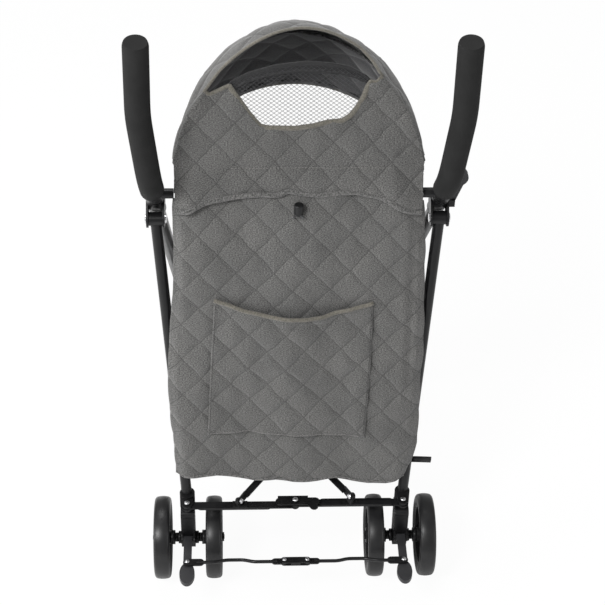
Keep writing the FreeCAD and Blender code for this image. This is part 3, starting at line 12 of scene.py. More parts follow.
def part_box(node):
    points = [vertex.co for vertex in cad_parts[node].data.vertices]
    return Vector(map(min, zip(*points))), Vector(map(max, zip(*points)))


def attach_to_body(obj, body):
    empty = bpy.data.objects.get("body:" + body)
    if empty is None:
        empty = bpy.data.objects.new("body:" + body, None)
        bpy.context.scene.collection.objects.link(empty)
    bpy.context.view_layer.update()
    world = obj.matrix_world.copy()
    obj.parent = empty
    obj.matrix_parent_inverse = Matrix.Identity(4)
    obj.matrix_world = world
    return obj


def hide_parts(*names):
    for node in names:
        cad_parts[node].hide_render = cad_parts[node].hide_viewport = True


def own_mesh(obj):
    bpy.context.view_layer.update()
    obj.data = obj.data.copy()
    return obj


MM = 0.001
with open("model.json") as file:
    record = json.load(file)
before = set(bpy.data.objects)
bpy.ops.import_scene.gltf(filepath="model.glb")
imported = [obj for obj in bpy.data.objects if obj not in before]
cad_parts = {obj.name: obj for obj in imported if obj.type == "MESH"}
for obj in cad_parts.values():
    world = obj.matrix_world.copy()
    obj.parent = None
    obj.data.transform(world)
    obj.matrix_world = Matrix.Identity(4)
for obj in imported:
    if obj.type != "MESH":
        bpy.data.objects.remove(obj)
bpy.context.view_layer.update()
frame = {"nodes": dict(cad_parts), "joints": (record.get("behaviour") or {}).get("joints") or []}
scene = bpy.context.scene

# Camera

VIEW_AZIMUTH = -2.69
VIEW_ELEVATION = 40.0
VIEW_ROLL = 1.36
VIEW_DISTANCE = 2.6
VIEW_TARGET = Vector((0.009, -0.145, 0.541))
LENS = 95.33
SENSOR = 36.0


def make_camera():
    azimuth = math.radians(VIEW_AZIMUTH)
    elevation = math.radians(VIEW_ELEVATION)
    roll = math.radians(VIEW_ROLL)
    back = Vector((
        math.sin(azimuth) * math.cos(elevation),
        -math.cos(azimuth) * math.cos(elevation),
        math.sin(elevation),
    ))
    level = (-back).cross(Vector((0, 0, 1))).normalized()
    rise = level.cross(-back)
    right = level * math.cos(roll) + rise * math.sin(roll)
    up = rise * math.cos(roll) - level * math.sin(roll)
    data = bpy.data.cameras.new("view")
    data.lens = LENS
    data.sensor_width = SENSOR
    camera = bpy.data.objects.new("view", data)
    scene.collection.objects.link(camera)
    turn = Matrix((right, up, back)).transposed().to_4x4()
    camera.matrix_world = Matrix.Translation(VIEW_TARGET + back * VIEW_DISTANCE) @ turn
    scene.camera = camera


make_camera()
scene.view_settings.view_transform = "Standard"

# Sizes of the soft forms, in millimetres

HINGE_Y = -117.0
HINGE_Z = 742.0
HOOD_HALF = 197.0
HOOD_RADIUS = 262.0
HOOD_DROP = 16.0
HOOD_SPLIT = 36.0
FRONT_OVERLAP = 9.0
FRONT_ANGLE = 9.5
FRONT_RADIUS = 256.0
FRONT_HALF = 194.0
FLAP_LEAN = math.radians(13.0)
FLAP_Y = -131.0
FLAP_Z = 738.3
CORNER_LEFT = -144.0
CORNER_RIGHT = 124.0
QUILT_X = 60.0
QUILT_Z = 64.0
PANEL_TOP_Z = 738.0
PANEL_LOW_Z = 226.0
PANEL_TOP_Y = -131.0
PANEL_LOW_Y = -232.0

HEM_ANGLE = [(-144, 82), (-121, 78.5), (-94, 77), (-65, 75.5), (-38, 74), (0, 72.5), (40, 72), (94, 73),
             (112, 76.5), (124, 81)]
FLAP_TOP = [(-144, 167), (-106, 185), (-101, 177), (-89, 159), (-79, 144), (-68, 130), (-60, 121),
            (-49, 118), (-6, 117), (21, 121), (43, 127), (65, 129), (78, 138), (88, 152), (97, 169),
            (102, 184), (107, 191), (124, 188)]
BAND_TOP = [(-106, 185), (-102, 192), (-76, 205), (-38, 216), (9, 222), (47, 219), (73, 214), (100, 199),
            (107, 191)]
NET_TOP = [(-106, 180), (-101, 181), (-76, 194), (-38, 204), (-1, 209), (31, 208), (60, 206), (84, 199),
           (103, 190), (107, 188)]
FLAP_HEM = [(-200, 722), (-173, 726), (-162, 732), (-132, 740), (-93, 747), (-60, 750), (-35, 748),
            (-16, 755), (6, 751), (34, 748), (62, 752), (89, 753), (106, 749), (131, 744), (145, 738),
            (174, 724), (200, 718)]
PANEL_LEFT = [(220, -202), (233, -203), (298, -206), (344, -210), (414, -212), (499, -207), (581, -199),
              (661, -196), (720, -197), (780, -190)]
PANEL_RIGHT = [(212, 182), (224, 185), (250, 196), (286, 206), (340, 206), (410, 205), (462, 208),
               (546, 205), (643, 202), (718, 197), (780, 190)]
PANEL_HEM = [(-205, 231), (-169, 230), (-132, 232), (-101, 226), (-64, 220), (-26, 223), (5, 219),
             (48, 220), (79, 222), (111, 216), (142, 212), (173, 215), (205, 224)]
POCKET_LEFT = [(300, -149), (316, -148), (452, -141), (562, -134), (580, -133)]
POCKET_RIGHT = [(300, 115), (308, 115), (373, 118), (449, 121), (560, 122), (580, 122)]
POCKET_HEM = [(-150, 316), (-76, 319), (-15, 316), (46, 314), (95, 308), (125, 308)]
POCKET_TOP = [(-135, 569), (-110, 562), (-81, 553), (-46, 545), (-16, 541), (13, 539), (42, 541),
              (71, 548), (100, 555), (125, 561)]


QUILT_SHIFT = 7.5
AXLE_X = 186.0
BAR_Y = -245.0
LINK_Y = -317.0
SLEEVE_FOOT_HALF = 12.0


def along(points, value):
    """Value of a curve given by corner points."""
    return float(np.interp(value, [p[0] for p in points], [p[1] for p in points]))


def smooth_step(low, high, value):
    share = min(1.0, max(0.0, (value - low) / (high - low)))
    return share * share * (3 - 2 * share)


# Mesh helpers

def mesh_object(name, verts, faces, uvs=None):
    """A smooth mesh from points in millimetres."""
    mesh = bpy.data.meshes.new(name)
    mesh.from_pydata([tuple(c * MM for c in v) for v in verts], [], faces)
    if uvs is not None:
        layer = mesh.uv_layers.new(name="UVMap")
        for loop in mesh.loops:
            u, v = uvs[loop.vertex_index]
            layer.data[loop.index].uv = (u * MM, v * MM)
    mesh.polygons.foreach_set("use_smooth", [True] * len(mesh.polygons))
    mesh.update()
    thing = bpy.data.objects.new(name, mesh)
    scene.collection.objects.link(thing)
    return thing


def grid_faces(rows, columns, start=0):
    faces = []
    for row in range(rows - 1):
        for column in range(columns - 1):
            first = start + row * columns + column
            faces.append((first, first + 1, first + columns + 1, first + columns))
    return faces


def turned(faces):
    """The same faces seen from their other side."""
    return [tuple(reversed(face)) for face in faces]


def quilt_height(u, v, depth):
    """Height of a padded diamond quilt, zero on its sewn lines."""
    first = abs((u / QUILT_X + v / QUILT_Z) % 1.0 - 0.5) * 2
    second = abs((u / QUILT_X - v / QUILT_Z) % 1.0 - 0.5) * 2
    return depth * (1 - first ** 2.4) * (1 - second ** 2.4)


def roughen(thing, amount, scale, seed=0.0):
    """Moves a cloth's points along their normals by soft noise."""
    mesh = thing.data
    normals = [v.normal.copy() for v in mesh.vertices]
    for vertex, normal in zip(mesh.vertices, normals):
        place = vertex.co * scale + Vector((seed, seed, seed))
        vertex.co += normal * noise.noise(place) * amount * MM
    mesh.update()


def quilted(thing, depth):
    """Raises the diamonds of a quilt along the mesh's normals, read from its UV map."""
    mesh = thing.data
    layer = mesh.uv_layers["UVMap"].data
    places = {}
    for loop in mesh.loops:
        places[loop.vertex_index] = layer[loop.index].uv
    normals = [v.normal.copy() for v in mesh.vertices]
    for vertex, normal in zip(mesh.vertices, normals):
        place = places.get(vertex.index)
        if place is not None:
            height = quilt_height(place[0] / MM, place[1] / MM, depth)
            vertex.co += normal * height * MM
    mesh.update()


def weld(thing, distance=0.05):
    work = bmesh.new()
    work.from_mesh(thing.data)
    bmesh.ops.remove_doubles(work, verts=work.verts, dist=distance * MM)
    work.to_mesh(thing.data)
    work.free()
    thing.data.update()


def thicken(thing, thickness, inner_slot=0):
    shell = thing.modifiers.new("cloth", "SOLIDIFY")
    shell.thickness = thickness * MM
    shell.offset = -1.0
    shell.material_offset = inner_slot
    shell.use_even_offset = False
    return shell


def tube_parts(points, side_to, width, height, verts, faces, uvs, segments=10):
    """Adds one closed band of oval section that follows the points; side_to gives its flat face."""
    start = len(verts)
    count = len(points)
    run = 0.0
    for index, point in enumerate(points):
        before = points[max(index - 1, 0)]
        after = points[min(index + 1, count - 1)]
        tangent = (after - before).normalized()
        outward = side_to(point) if callable(side_to) else side_to
        across = tangent.cross(outward).normalized()
        outward = across.cross(tangent).normalized()
        if index:
            run += (point - points[index - 1]).length
        for step in range(segments):
            angle = 2 * math.pi * step / segments
            rim = across * (width / 2 * math.cos(angle)) + outward * (height / 2 * math.sin(angle))
            verts.append(point + rim)
            uvs.append((run, width * step / segments))
    for index in range(count - 1):
        for step in range(segments):
            a = start + index * segments + step
            b = start + index * segments + (step + 1) % segments
            faces.append((a, b, b + segments, a + segments))
    faces.append(tuple(start + s for s in reversed(range(segments))))
    faces.append(tuple(start + (count - 1) * segments + s for s in range(segments)))


def band(name, points, side_to, width, height):
    verts, faces, uvs = [], [], []
    tube_parts([Vector(p) for p in points], side_to, width, height, verts, faces, uvs)
    return mesh_object(name, verts, faces, uvs)


def stitches(name, points, side_to, length=3.4, space=2.0, width=0.9):
    """A row of thread stitches along a line."""
    points = [Vector(p) for p in points]
    verts, faces, uvs = [], [], []
    travel = [0.0]
    for a, b in zip(points, points[1:]):
        travel.append(travel[-1] + (b - a).length)
    place = 0.0
    while place + length < travel[-1]:
        ends = []
        for value in (place, place + length / 2, place + length):
            spot = Vector([np.interp(value, travel, [p[k] for p in points]) for k in range(3)])
            ends.append(spot)
        tube_parts(ends, side_to, width, width, verts, faces, uvs, 6)
        place += length + space
    return mesh_object(name, verts, faces, uvs)


# Materials

def material(name, colour, roughness, metallic=0.0, sheen=0.0, gleam=0.5):
    made = bpy.data.materials.new(name)
    made.use_nodes = True
    shader = made.node_tree.nodes["Principled BSDF"]
    shader.inputs["Base Color"].default_value = (*colour, 1)
    shader.inputs["Roughness"].default_value = roughness
    shader.inputs["Metallic"].default_value = metallic
    shader.inputs["Specular IOR Level"].default_value = gleam
    if sheen:
        shader.inputs["Sheen Weight"].default_value = sheen
        shader.inputs["Sheen Roughness"].default_value = 0.5
    return made


def node(tree, kind, **values):
    made = tree.nodes.new(kind)
    for key, value in values.items():
        setattr(made, key, value)
    return made


def maths(tree, operation, first, second=None):
    made = node(tree, "ShaderNodeMath", operation=operation)
    for index, value in enumerate((first, second)):
        if value is None:
            continue
        if isinstance(value, (int, float)):
            made.inputs[index].default_value = value
        else:
            tree.links.new(value, made.inputs[index])
    return made.outputs[0]


def noise_value(tree, source, scale, detail=3.0, stretch=(1, 1, 1)):
    scaled = node(tree, "ShaderNodeVectorMath", operation="MULTIPLY")
    scaled.inputs[1].default_value = tuple(scale * s for s in stretch)
    tree.links.new(source, scaled.inputs[0])
    made = node(tree, "ShaderNodeTexNoise")
    made.inputs["Scale"].default_value = 1.0
    made.inputs["Detail"].default_value = detail
    tree.links.new(scaled.outputs[0], made.inputs["Vector"])
    return made.outputs["Fac"]


def ramp(tree, value, low, high, first, last):
    made = node(tree, "ShaderNodeValToRGB")
    made.color_ramp.elements[0].position = low
    made.color_ramp.elements[1].position = high
    made.color_ramp.elements[0].color = (*first, 1)
    made.color_ramp.elements[1].color = (*last, 1)
    tree.links.new(value, made.inputs[0])
    return made.outputs[0]


def bump(made, height, distance, strength=1.0):
    tree = made.node_tree
    shader = tree.nodes["Principled BSDF"]
    dent = node(tree, "ShaderNodeBump")
    dent.inputs["Distance"].default_value = distance * MM
    dent.inputs["Strength"].default_value = strength
    tree.links.new(height, dent.inputs["Height"])
    earlier = shader.inputs["Normal"].links
    if earlier:
        tree.links.new(earlier[0].from_socket, dent.inputs["Normal"])
    tree.links.new(dent.outputs[0], shader.inputs["Normal"])


def mix_colour(tree, share, first, second):
    made = node(tree, "ShaderNodeMix", data_type="RGBA")
    if isinstance(share, (int, float)):
        made.inputs[0].default_value = share
    else:
        tree.links.new(share, made.inputs[0])
    for socket, value in ((made.inputs[6], first), (made.inputs[7], second)):
        if isinstance(value, tuple):
            socket.default_value = (*value, 1)
        else:
            tree.links.new(value, socket)
    return made.outputs[2]


def wobble(tree, source):
    """The same place moved about by a millimetre or two, so that sewn lines wander."""
    made = node(tree, "ShaderNodeTexNoise")
    made.inputs["Scale"].default_value = 34.0
    made.inputs["Detail"].default_value = 2.0
    tree.links.new(source, made.inputs["Vector"])
    centred = node(tree, "ShaderNodeVectorMath", operation="SUBTRACT")
    centred.inputs[1].default_value = (0.5, 0.5, 0.5)
    tree.links.new(made.outputs["Color"], centred.inputs[0])
    scaled = node(tree, "ShaderNodeVectorMath", operation="SCALE")
    scaled.inputs["Scale"].default_value = 0.007
    tree.links.new(centred.outputs[0], scaled.inputs[0])
    moved = node(tree, "ShaderNodeVectorMath", operation="ADD")
    tree.links.new(source, moved.inputs[0])
    tree.links.new(scaled.outputs[0], moved.inputs[1])
    return moved.outputs[0]


def quilt_mask(tree, source, line_width):
    """One on the sewn lines of the diamond quilt and zero between them."""
    parts = node(tree, "ShaderNodeSeparateXYZ")
    tree.links.new(source, parts.inputs[0])
    across = maths(tree, "MULTIPLY", parts.outputs[0], 1000 / QUILT_X)
    up = maths(tree, "MULTIPLY", parts.outputs[1], 1000 / QUILT_Z)
    lines = []
    for operation in ("ADD", "SUBTRACT"):
        value = maths(tree, operation, across, up)
        value = maths(tree, "FRACT", value)
        value = maths(tree, "ABSOLUTE", maths(tree, "SUBTRACT", value, 0.5))
        edge = node(tree, "ShaderNodeMapRange", interpolation_type="SMOOTHSTEP")
        edge.inputs["From Min"].default_value = 0.5 - line_width
        edge.inputs["From Max"].default_value = 0.5
        tree.links.new(value, edge.inputs["Value"])
        lines.append(edge.outputs[0])
    return maths(tree, "MAXIMUM", lines[0], lines[1])


def melange(name, light, dark, quilt=0.0, seam_shade=0.45, sheen=0.25):
    """Woven fabric of mixed threads; where it is quilted, the sewn lines are darkened as painted shade for
    the quilt's creases.
    """
    made = material(name, light, 0.92, sheen=sheen)
    tree = made.node_tree
    shader = tree.nodes["Principled BSDF"]
    place = node(tree, "ShaderNodeTexCoord").outputs["UV"]
    threads = noise_value(tree, place, 430, 2.0, (1, 2.2, 1))
    cloud = noise_value(tree, place, 14, 3.0)
    creases = noise_value(tree, place, 34, 2.0, (1.0, 1.8, 1))
    colour = ramp(tree, threads, 0.38, 0.62, dark, light)
    shade = ramp(tree, cloud, 0.3, 0.75, (0.84, 0.84, 0.84), (1.08, 1.07, 1.06))
    made_mix = node(tree, "ShaderNodeMix", data_type="RGBA", blend_type="MULTIPLY")
    made_mix.inputs[0].default_value = 1.0
    tree.links.new(colour, made_mix.inputs[6])
    tree.links.new(shade, made_mix.inputs[7])
    colour = made_mix.outputs[2]
    bump(made, threads, 0.35, 0.45)
    bump(made, creases, 3.0, 0.4)
    if quilt:
        # Painted shade: the quilt's sewn lines are darkened in the base colour to stand for the shadow in
        # its creases.
        seam_shade_mask = quilt_mask(tree, wobble(tree, place), quilt)
        low = tuple(c * seam_shade for c in dark)
        colour = mix_colour(tree, maths(tree, "MULTIPLY", seam_shade_mask, 0.7), colour, low)
        wide = quilt_mask(tree, wobble(tree, place), quilt * 6)
        bump(made, maths(tree, "SUBTRACT", 1.0, wide), 1.8, 0.45)
    tree.links.new(colour, shader.inputs["Base Color"])
    return made


def webbing(name, colour):
    made = material(name, colour, 0.7, sheen=0.2)
    tree = made.node_tree
    place = node(tree, "ShaderNodeTexCoord").outputs["UV"]
    ribs = node(tree, "ShaderNodeTexWave", wave_type="BANDS", bands_direction="DIAGONAL")
    ribs.inputs["Scale"].default_value = 300.0
    ribs.inputs["Distortion"].default_value = 1.0
    tree.links.new(place, ribs.inputs["Vector"])
    bump(made, ribs.outputs["Fac"], 0.5, 0.7)
    return made


def worn(name, colour, roughness, metallic=0.0, grain=0.25, distance=0.06, scale=900.0, gleam=0.5):
    """Solid finish with fine grain, uneven gloss and slight wear."""
    made = material(name, colour, roughness, metallic, 0.0, gleam)
    tree = made.node_tree
    shader = tree.nodes["Principled BSDF"]
    place = node(tree, "ShaderNodeTexCoord").outputs["Object"]
    fine = noise_value(tree, place, scale, 2.0)
    wide = noise_value(tree, place, 38.0, 4.0)
    bump(made, fine, distance, grain)
    gloss = node(tree, "ShaderNodeMapRange")
    gloss.inputs["To Min"].default_value = max(0.05, roughness - 0.08)
    gloss.inputs["To Max"].default_value = min(1.0, roughness + 0.1)
    tree.links.new(wide, gloss.inputs["Value"])
    tree.links.new(gloss.outputs[0], shader.inputs["Roughness"])
    lighter = tuple(min(1.0, c * 1.25 + 0.004) for c in colour)
    tint = ramp(tree, wide, 0.35, 0.8, colour, lighter)
    tree.links.new(tint, shader.inputs["Base Color"])
    return made


GREY_LIGHT = (0.150, 0.148, 0.144)
GREY_DARK = (0.034, 0.034, 0.033)
cloth_quilted = melange("cloth_quilted", GREY_LIGHT, GREY_DARK, quilt=0.022)
cloth_plain = melange("cloth_plain", GREY_LIGHT, GREY_DARK)
cloth_lining = melange("cloth_lining", (0.100, 0.100, 0.104), (0.045, 0.045, 0.048), quilt=0.03, sheen=0.2)
cloth_binding = melange("cloth_binding", (0.150, 0.140, 0.118), (0.085, 0.080, 0.066))
thread_light = material("thread_light", (0.21, 0.205, 0.195), 0.8)
thread_dark = material("thread_dark", (0.045, 0.045, 0.044), 0.8)
strap_black = webbing("strap_black", (0.016, 0.016, 0.017))
net_black = worn("net_black", (0.045, 0.045, 0.047), 0.6)
band_black = melange("band_black", (0.030, 0.030, 0.032), (0.006, 0.006, 0.006), sheen=0.05)
paint_black = worn("paint_black", (0.007, 0.007, 0.0075), 0.30, 0.0, 0.2, 0.04, 1400.0, 0.26)
plastic_black = worn("plastic_black", (0.007, 0.007, 0.0075), 0.38, 0.0, 0.35, 0.08, 1100.0, 0.26)
plastic_grey = worn("plastic_grey", (0.028, 0.028, 0.030), 0.45, 0.0, 0.35, 0.08, 1100.0, 0.3)
rubber = worn("rubber", (0.009, 0.009, 0.0095), 0.36, 0.0, 0.4, 0.08, 700.0, 0.34)
foam = worn("foam", (0.011, 0.011, 0.011), 0.85, 0.0, 0.8, 0.35, 520.0, 0.22)
steel = worn("steel", (0.62, 0.62, 0.63), 0.28, 1.0, 0.15, 0.03, 1500.0)


def wear(thing, *finishes):
    thing.data.materials.clear()
    for finish in finishes:
        thing.data.materials.append(finish)


FINISH_BY_WORD = [
    ("shoulder_pin", steel, "steel"), ("axle", paint_black, "steel"), ("grip", foam, "foam"),
    ("tyre", rubber, "tyre"), ("pedal", plastic_grey, "grey_plastic"),
    ("lever", plastic_grey, "grey_plastic"), ("bracket", plastic_black, "black_plastic"),
    ("clip", plastic_black, "black_plastic"), ("caster", plastic_black, "black_plastic"),
    ("housing", plastic_black, "black_plastic"), ("fork", plastic_black, "black_plastic"),
    ("rim", plastic_black, "black_plastic"), ("toggle", plastic_black, "black_plastic"),
    ("buckle", plastic_black, "black_plastic"),
]

for label, thing in frame["nodes"].items():
    finish = paint_black
    for word, choice, slot_name in FINISH_BY_WORD:
        if word in label:
            finish = choice
            break
    wear(thing, finish)

# Canopy

def hood_radius(angle):
    return HOOD_RADIUS - HOOD_DROP * smooth_step(66, 86, angle)


def hood_point(x, angle, radius, half=HOOD_HALF):
    reach = radius * math.sqrt(max(0.0, 1 - (x / half) ** 2))
    turn = math.radians(angle)
    return Vector((x, HINGE_Y + reach * math.cos(turn), HINGE_Z + reach * math.sin(turn)))


def flap_point(x, up):
    """A place on the flap, which stands off the back panel near its lower hem."""
    z = FLAP_Z + up * math.cos(FLAP_LEAN)
    y = FLAP_Y + up * math.sin(FLAP_LEAN)
    near = 1 - smooth_step(5, 55, z - along(FLAP_HEM, x))
    lift = 9 * math.exp(-((x + 168) / 16) ** 2) + 10 * math.exp(-((x - 158) / 22) ** 2)
    return Vector((x, y - (5 + lift) * near, z))


def junction_angle(x):
    """Angle at which the hood meets the flap."""
    low, high = 40.0, 179.0
    for _ in range(40):
        middle = (low + high) / 2
        spot = hood_point(x, middle, hood_radius(middle))
        ahead = spot.y - (FLAP_Y + (spot.z - FLAP_Z) * math.tan(FLAP_LEAN))
        if ahead > 0:
            low = middle
        else:
            high = middle
    return (low + high) / 2


def hood_columns(half, last):
    count = 105
    places = [half * math.sin(math.radians(last * (2 * k / (count - 1) - 1))) for k in range(count)]
    for corner in (CORNER_LEFT, CORNER_RIGHT):
        nearest = min(range(count), key=lambda k: abs(places[k] - corner))
        places[nearest] = corner
    return places


def make_canopy():
    """The hood and its back flap as one sheet with the open roof gap between them."""
    places = hood_columns(HOOD_HALF, 77)
    rows_hood = 46
    rows_flap = 52
    verts, uvs = [], []
    hem_line, flap_line, low_line = [], [], []
    ends = []
    for x in places:
        inside = CORNER_LEFT <= x <= CORNER_RIGHT
        angle = junction_angle(x)
        spot = hood_point(x, angle, hood_radius(angle))
        top = (spot.z - FLAP_Z) / math.cos(FLAP_LEAN)
        if inside:
            edge = smooth_step(0, 8, min(x - CORNER_LEFT, CORNER_RIGHT - x))
            angle = angle + (along(HEM_ANGLE, x) - angle) * edge
            top = top + (along(FLAP_TOP, x) - top) * edge
        ends.append((angle, top, inside))
    for row in range(rows_hood):
        share = row / (rows_hood - 1)
        for x, (angle, top, inside) in zip(places, ends):
            value = HOOD_SPLIT + (angle - HOOD_SPLIT) * share
            verts.append(hood_point(x, value, hood_radius(value)))
            uvs.append((x + QUILT_SHIFT, math.radians(value) * HOOD_RADIUS))
    start = len(verts)
    for row in range(rows_flap):
        share = row / (rows_flap - 1)
        for x, (angle, top, inside) in zip(places, ends):
            low = (along(FLAP_HEM, x) - FLAP_Z) / math.cos(FLAP_LEAN)
            up = top + (low - top) * share
            if row == 0 and not inside:
                verts.append(hood_point(x, angle, hood_radius(angle)))
            else:
                verts.append(flap_point(x, up))
            uvs.append((x + QUILT_SHIFT, up - 30))
    columns = len(places)
    for column, (x, (angle, top, inside)) in enumerate(zip(places, ends)):
        if inside:
            hem_line.append(hood_point(x, angle, hood_radius(angle)))
            flap_line.append(flap_point(x, top))
        low_line.append(verts[start + (rows_flap - 1) * columns + column])
    faces = grid_faces(rows_hood, columns) + grid_faces(rows_flap, columns, start)
    cloth = mesh_object("canopy_cloth", verts, faces, uvs)
    weld(cloth, 0.02)
    work = bmesh.new()
    work.from_mesh(cloth.data)
    bmesh.ops.recalc_face_normals(work, faces=work.faces)
    work.faces.ensure_lookup_table()
    middle = sum((f.calc_center_median() for f in work.faces), Vector()) / len(work.faces)
    outward = sum((f.calc_center_median() - middle).dot(f.normal) for f in work.faces)
    if outward < 0:
        bmesh.ops.reverse_faces(work, faces=work.faces)
    creased = [v for v in work.verts if not v.is_boundary]
    for _ in range(3):
        bmesh.ops.smooth_vert(work, verts=creased, factor=0.5, use_axis_x=False,
                              use_axis_y=True, use_axis_z=True)
    work.to_mesh(cloth.data)
    work.free()
    cloth.data.update()
    quilted(cloth, 2.6)
    roughen(cloth, 4.0, 11.0, 3.0)
    roughen(cloth, 2.2, 30.0, 8.0)
    wear(cloth, cloth_quilted, cloth_lining)
    thicken(cloth, 2.4, 1)
    return cloth, hem_line, flap_line, low_line


def rear_side(point):
    return Vector((0, -math.cos(FLAP_LEAN), math.sin(FLAP_LEAN)))


def radial(point):
    return Vector((point.x * 0.6, point.y - HINGE_Y, point.z - HINGE_Z)).normalized()


def make_front_hood():
    """The part of the hood that folds back under the rest."""
    places = hood_columns(FRONT_HALF, 77)
    rows = 28
    verts, uvs = [], []
    for row in range(rows):
        value = FRONT_ANGLE + (HOOD_SPLIT + FRONT_OVERLAP - FRONT_ANGLE) * row / (rows - 1)
        for x in places:
            verts.append(hood_point(x, value, FRONT_RADIUS, FRONT_HALF))
            uvs.append((x + QUILT_SHIFT, math.radians(value) * HOOD_RADIUS))
    faces = turned(grid_faces(rows, len(places)))
    cloth = mesh_object("canopy_front_cloth", verts, faces, uvs)
    quilted(cloth, -3.0)
    roughen(cloth, 1.6, 12.0, 5.0)
    wear(cloth, cloth_quilted, cloth_lining)
    thicken(cloth, 2.2, 1)
    edge = [hood_point(x, FRONT_ANGLE, FRONT_RADIUS - 1, FRONT_HALF) for x in places]
    binding = band("canopy_front_binding", edge, radial, 9, 4.5)
    wear(binding, cloth_binding)
    return cloth, binding


canopy_cloth, hem_line, flap_line, flap_low_line = make_canopy()
front_cloth, front_binding = make_front_hood()


def window_line():
    return [flap_point(x, along(FLAP_TOP, x)) for x in np.linspace(-108, 109, 90)]


def make_window():
    """The dark band and the net that fill the flap's window."""
    verts, uvs = [], []
    places = list(np.linspace(-112, 112, 70))
    for row in range(5):
        for x in places:
            top = along(BAND_TOP, x)
            low = along(NET_TOP, x) - 4
            up = top + (low - top) * row / 4
            spot = flap_point(x, up)
            verts.append(spot + Vector((0, 1.5 + 2.0 * math.sin(math.pi * row / 4), 0)))
            uvs.append((x, up))
    strip = mesh_object("window_band", verts, turned(grid_faces(5, len(places))), uvs)
    wear(strip, band_black)
    thicken(strip, 2.0)
    pitch_x = 8.6
    pitch_z = 6.4
    rows = int(230 / pitch_z * 2)
    cells, points, index = [], [], {}

    def corner(x, up):
        key = (round(x, 2), round(up, 2))
        if key not in index:
            index[key] = len(points)
            points.append(flap_point(x, up) + Vector((0, 2.6, 0)))
        return index[key]

    for row in range(rows):
        up = 108 + row * pitch_z / 2
        for column in range(-14, 15):
            x = (column + 0.5 * (row % 2)) * pitch_x
            if abs(x) > 112:
                continue
            if up < along(FLAP_TOP, x) - 6 or up > along(NET_TOP, x) + 3:
                continue
            cells.append((corner(x - pitch_x / 2, up), corner(x, up - pitch_z / 2),
                          corner(x + pitch_x / 2, up), corner(x, up + pitch_z / 2)))
    net = mesh_object("window_net", points, cells)
    wire = net.modifiers.new("strands", "WIREFRAME")
    wire.thickness = 0.95 * MM
    wire.use_even_offset = False
    wear(net, net_black)
    return strip, net


window_band, window_net = make_window()

hem_binding = band("roof_gap_binding", hem_line, radial, 7.5, 4.6)
wear(hem_binding, cloth_binding)
window_binding = band("window_binding", window_line(), rear_side, 8.5, 4.6)
wear(window_binding, cloth_binding)
corner_left = band("flap_binding_left", [p + Vector((0, 0, 0.4)) for p in flap_line if p.x < -101],
                   rear_side, 6.5, 4.4)
wear(corner_left, cloth_binding)
corner_right = band("flap_binding_right", [p + Vector((0, 0, 0.4)) for p in flap_line if p.x > 102],
                    rear_side, 6.5, 4.4)
wear(corner_right, cloth_binding)
flap_casing = band("flap_casing", [p + Vector((0, -0.6, 0)) for p in flap_low_line], rear_side, 9, 5.2)
wear(flap_casing, cloth_plain)


def seam_noise(x):
    return noise.noise(Vector((x * 0.02, 1.7, 0.3)))


THREAD_STAND_OFF = Vector((0, -2.6, 0.5))
flap_thread = [flap_point(x, 54 + 1.6 * seam_noise(x)) + THREAD_STAND_OFF for x in range(-104, 148, 4)]
flap_stitch = stitches("flap_stitches", flap_thread, rear_side)
wear(flap_stitch, thread_light)

# Back panel and pocket

def panel_share(z):
    return (PANEL_TOP_Z - z) / (PANEL_TOP_Z - PANEL_LOW_Z)


def panel_y(x, z):
    """Rear face of the hanging panel with its folds."""
    share = panel_share(z)
    mean = PANEL_TOP_Y + (PANEL_LOW_Y - PANEL_TOP_Y) * share
    depth = 1.0 + 1.8 * max(0.0, share)
    wave = -depth * math.sin(math.pi * (x + 205) / 82)
    groove = 4.5 * math.exp(-((x - 182 - 4 * share) / 7) ** 2) * smooth_step(-0.02, 0.08, share) \
        * (1 - smooth_step(0.5, 0.85, share))
    left_groove = 2.5 * math.exp(-((x + 190) / 7) ** 2) * (1 - smooth_step(0.3, 0.8, share))
    slow = noise.noise(Vector((x * 0.011, z * 0.009, 4.2))) * 7
    quick = noise.noise(Vector((x * 0.03, z * 0.022, 9.1))) * 2.6
    sag = 5.0 * math.exp(-((z - 600) / 60) ** 2) * math.exp(-((x) / 110) ** 2)
    return mean + wave + groove + left_groove + slow + quick - sag * 0.5


def make_panel():
    columns = 109
    rows = 141
    verts, uvs = [], []
    for row in range(rows):
        for column in range(columns):
            share_x = column / (columns - 1)
            rough_x = -203 + 406 * share_x
            top = along(FLAP_HEM, rough_x) + 13
            low = along(PANEL_HEM, rough_x)
            z = top + (low - top) * row / (rows - 1)
            left = along(PANEL_LEFT, z)
            right = along(PANEL_RIGHT, z)
            x = left + (right - left) * share_x
            edge = min(x - left, right - x)
            curl = 9.0 * (1 - smooth_step(0, 16, edge))
            verts.append(Vector((x, panel_y(x, z) + curl, z)))
            uvs.append((x + QUILT_SHIFT, z - 647))
    panel = mesh_object("back_panel_cloth", verts, turned(grid_faces(rows, columns)), uvs)
    quilted(panel, 2.6)
    wear(panel, cloth_quilted, cloth_lining)
    thicken(panel, 2.4, 1)
    hem = [Vector(verts[(rows - 1) * columns + c]) for c in range(columns)]
    return panel, hem


def pocket_point(x, share_up):
    """A place on the pocket: share_up runs from its bottom seam to its open top."""
    low = along(POCKET_HEM, x)
    top = along(POCKET_TOP, x)
    z = low + (top - low) * share_up
    left = along(POCKET_LEFT, z)
    right = along(POCKET_RIGHT, z)
    inward = min(1.0, max(0.0, (x - left) / (right - left)))
    belly = math.sin(math.pi * inward) ** 0.8
    off = 3.4 + belly * (2.5 + 9 * share_up ** 3 + 3 * math.sin(math.pi * share_up))
    ruck = 2.2 * noise.noise(Vector((x * 0.035, z * 0.03, 21.0)))
    tuck = 3.0 * math.exp(-((share_up - 0.93) / 0.02) ** 2) * math.exp(-((x - 25) / 45) ** 2)
    edge = smooth_step(0, 0.05, min(inward, 1 - inward, share_up))
    return Vector((x, panel_y(x, z) - off - ruck * edge + tuck, z))


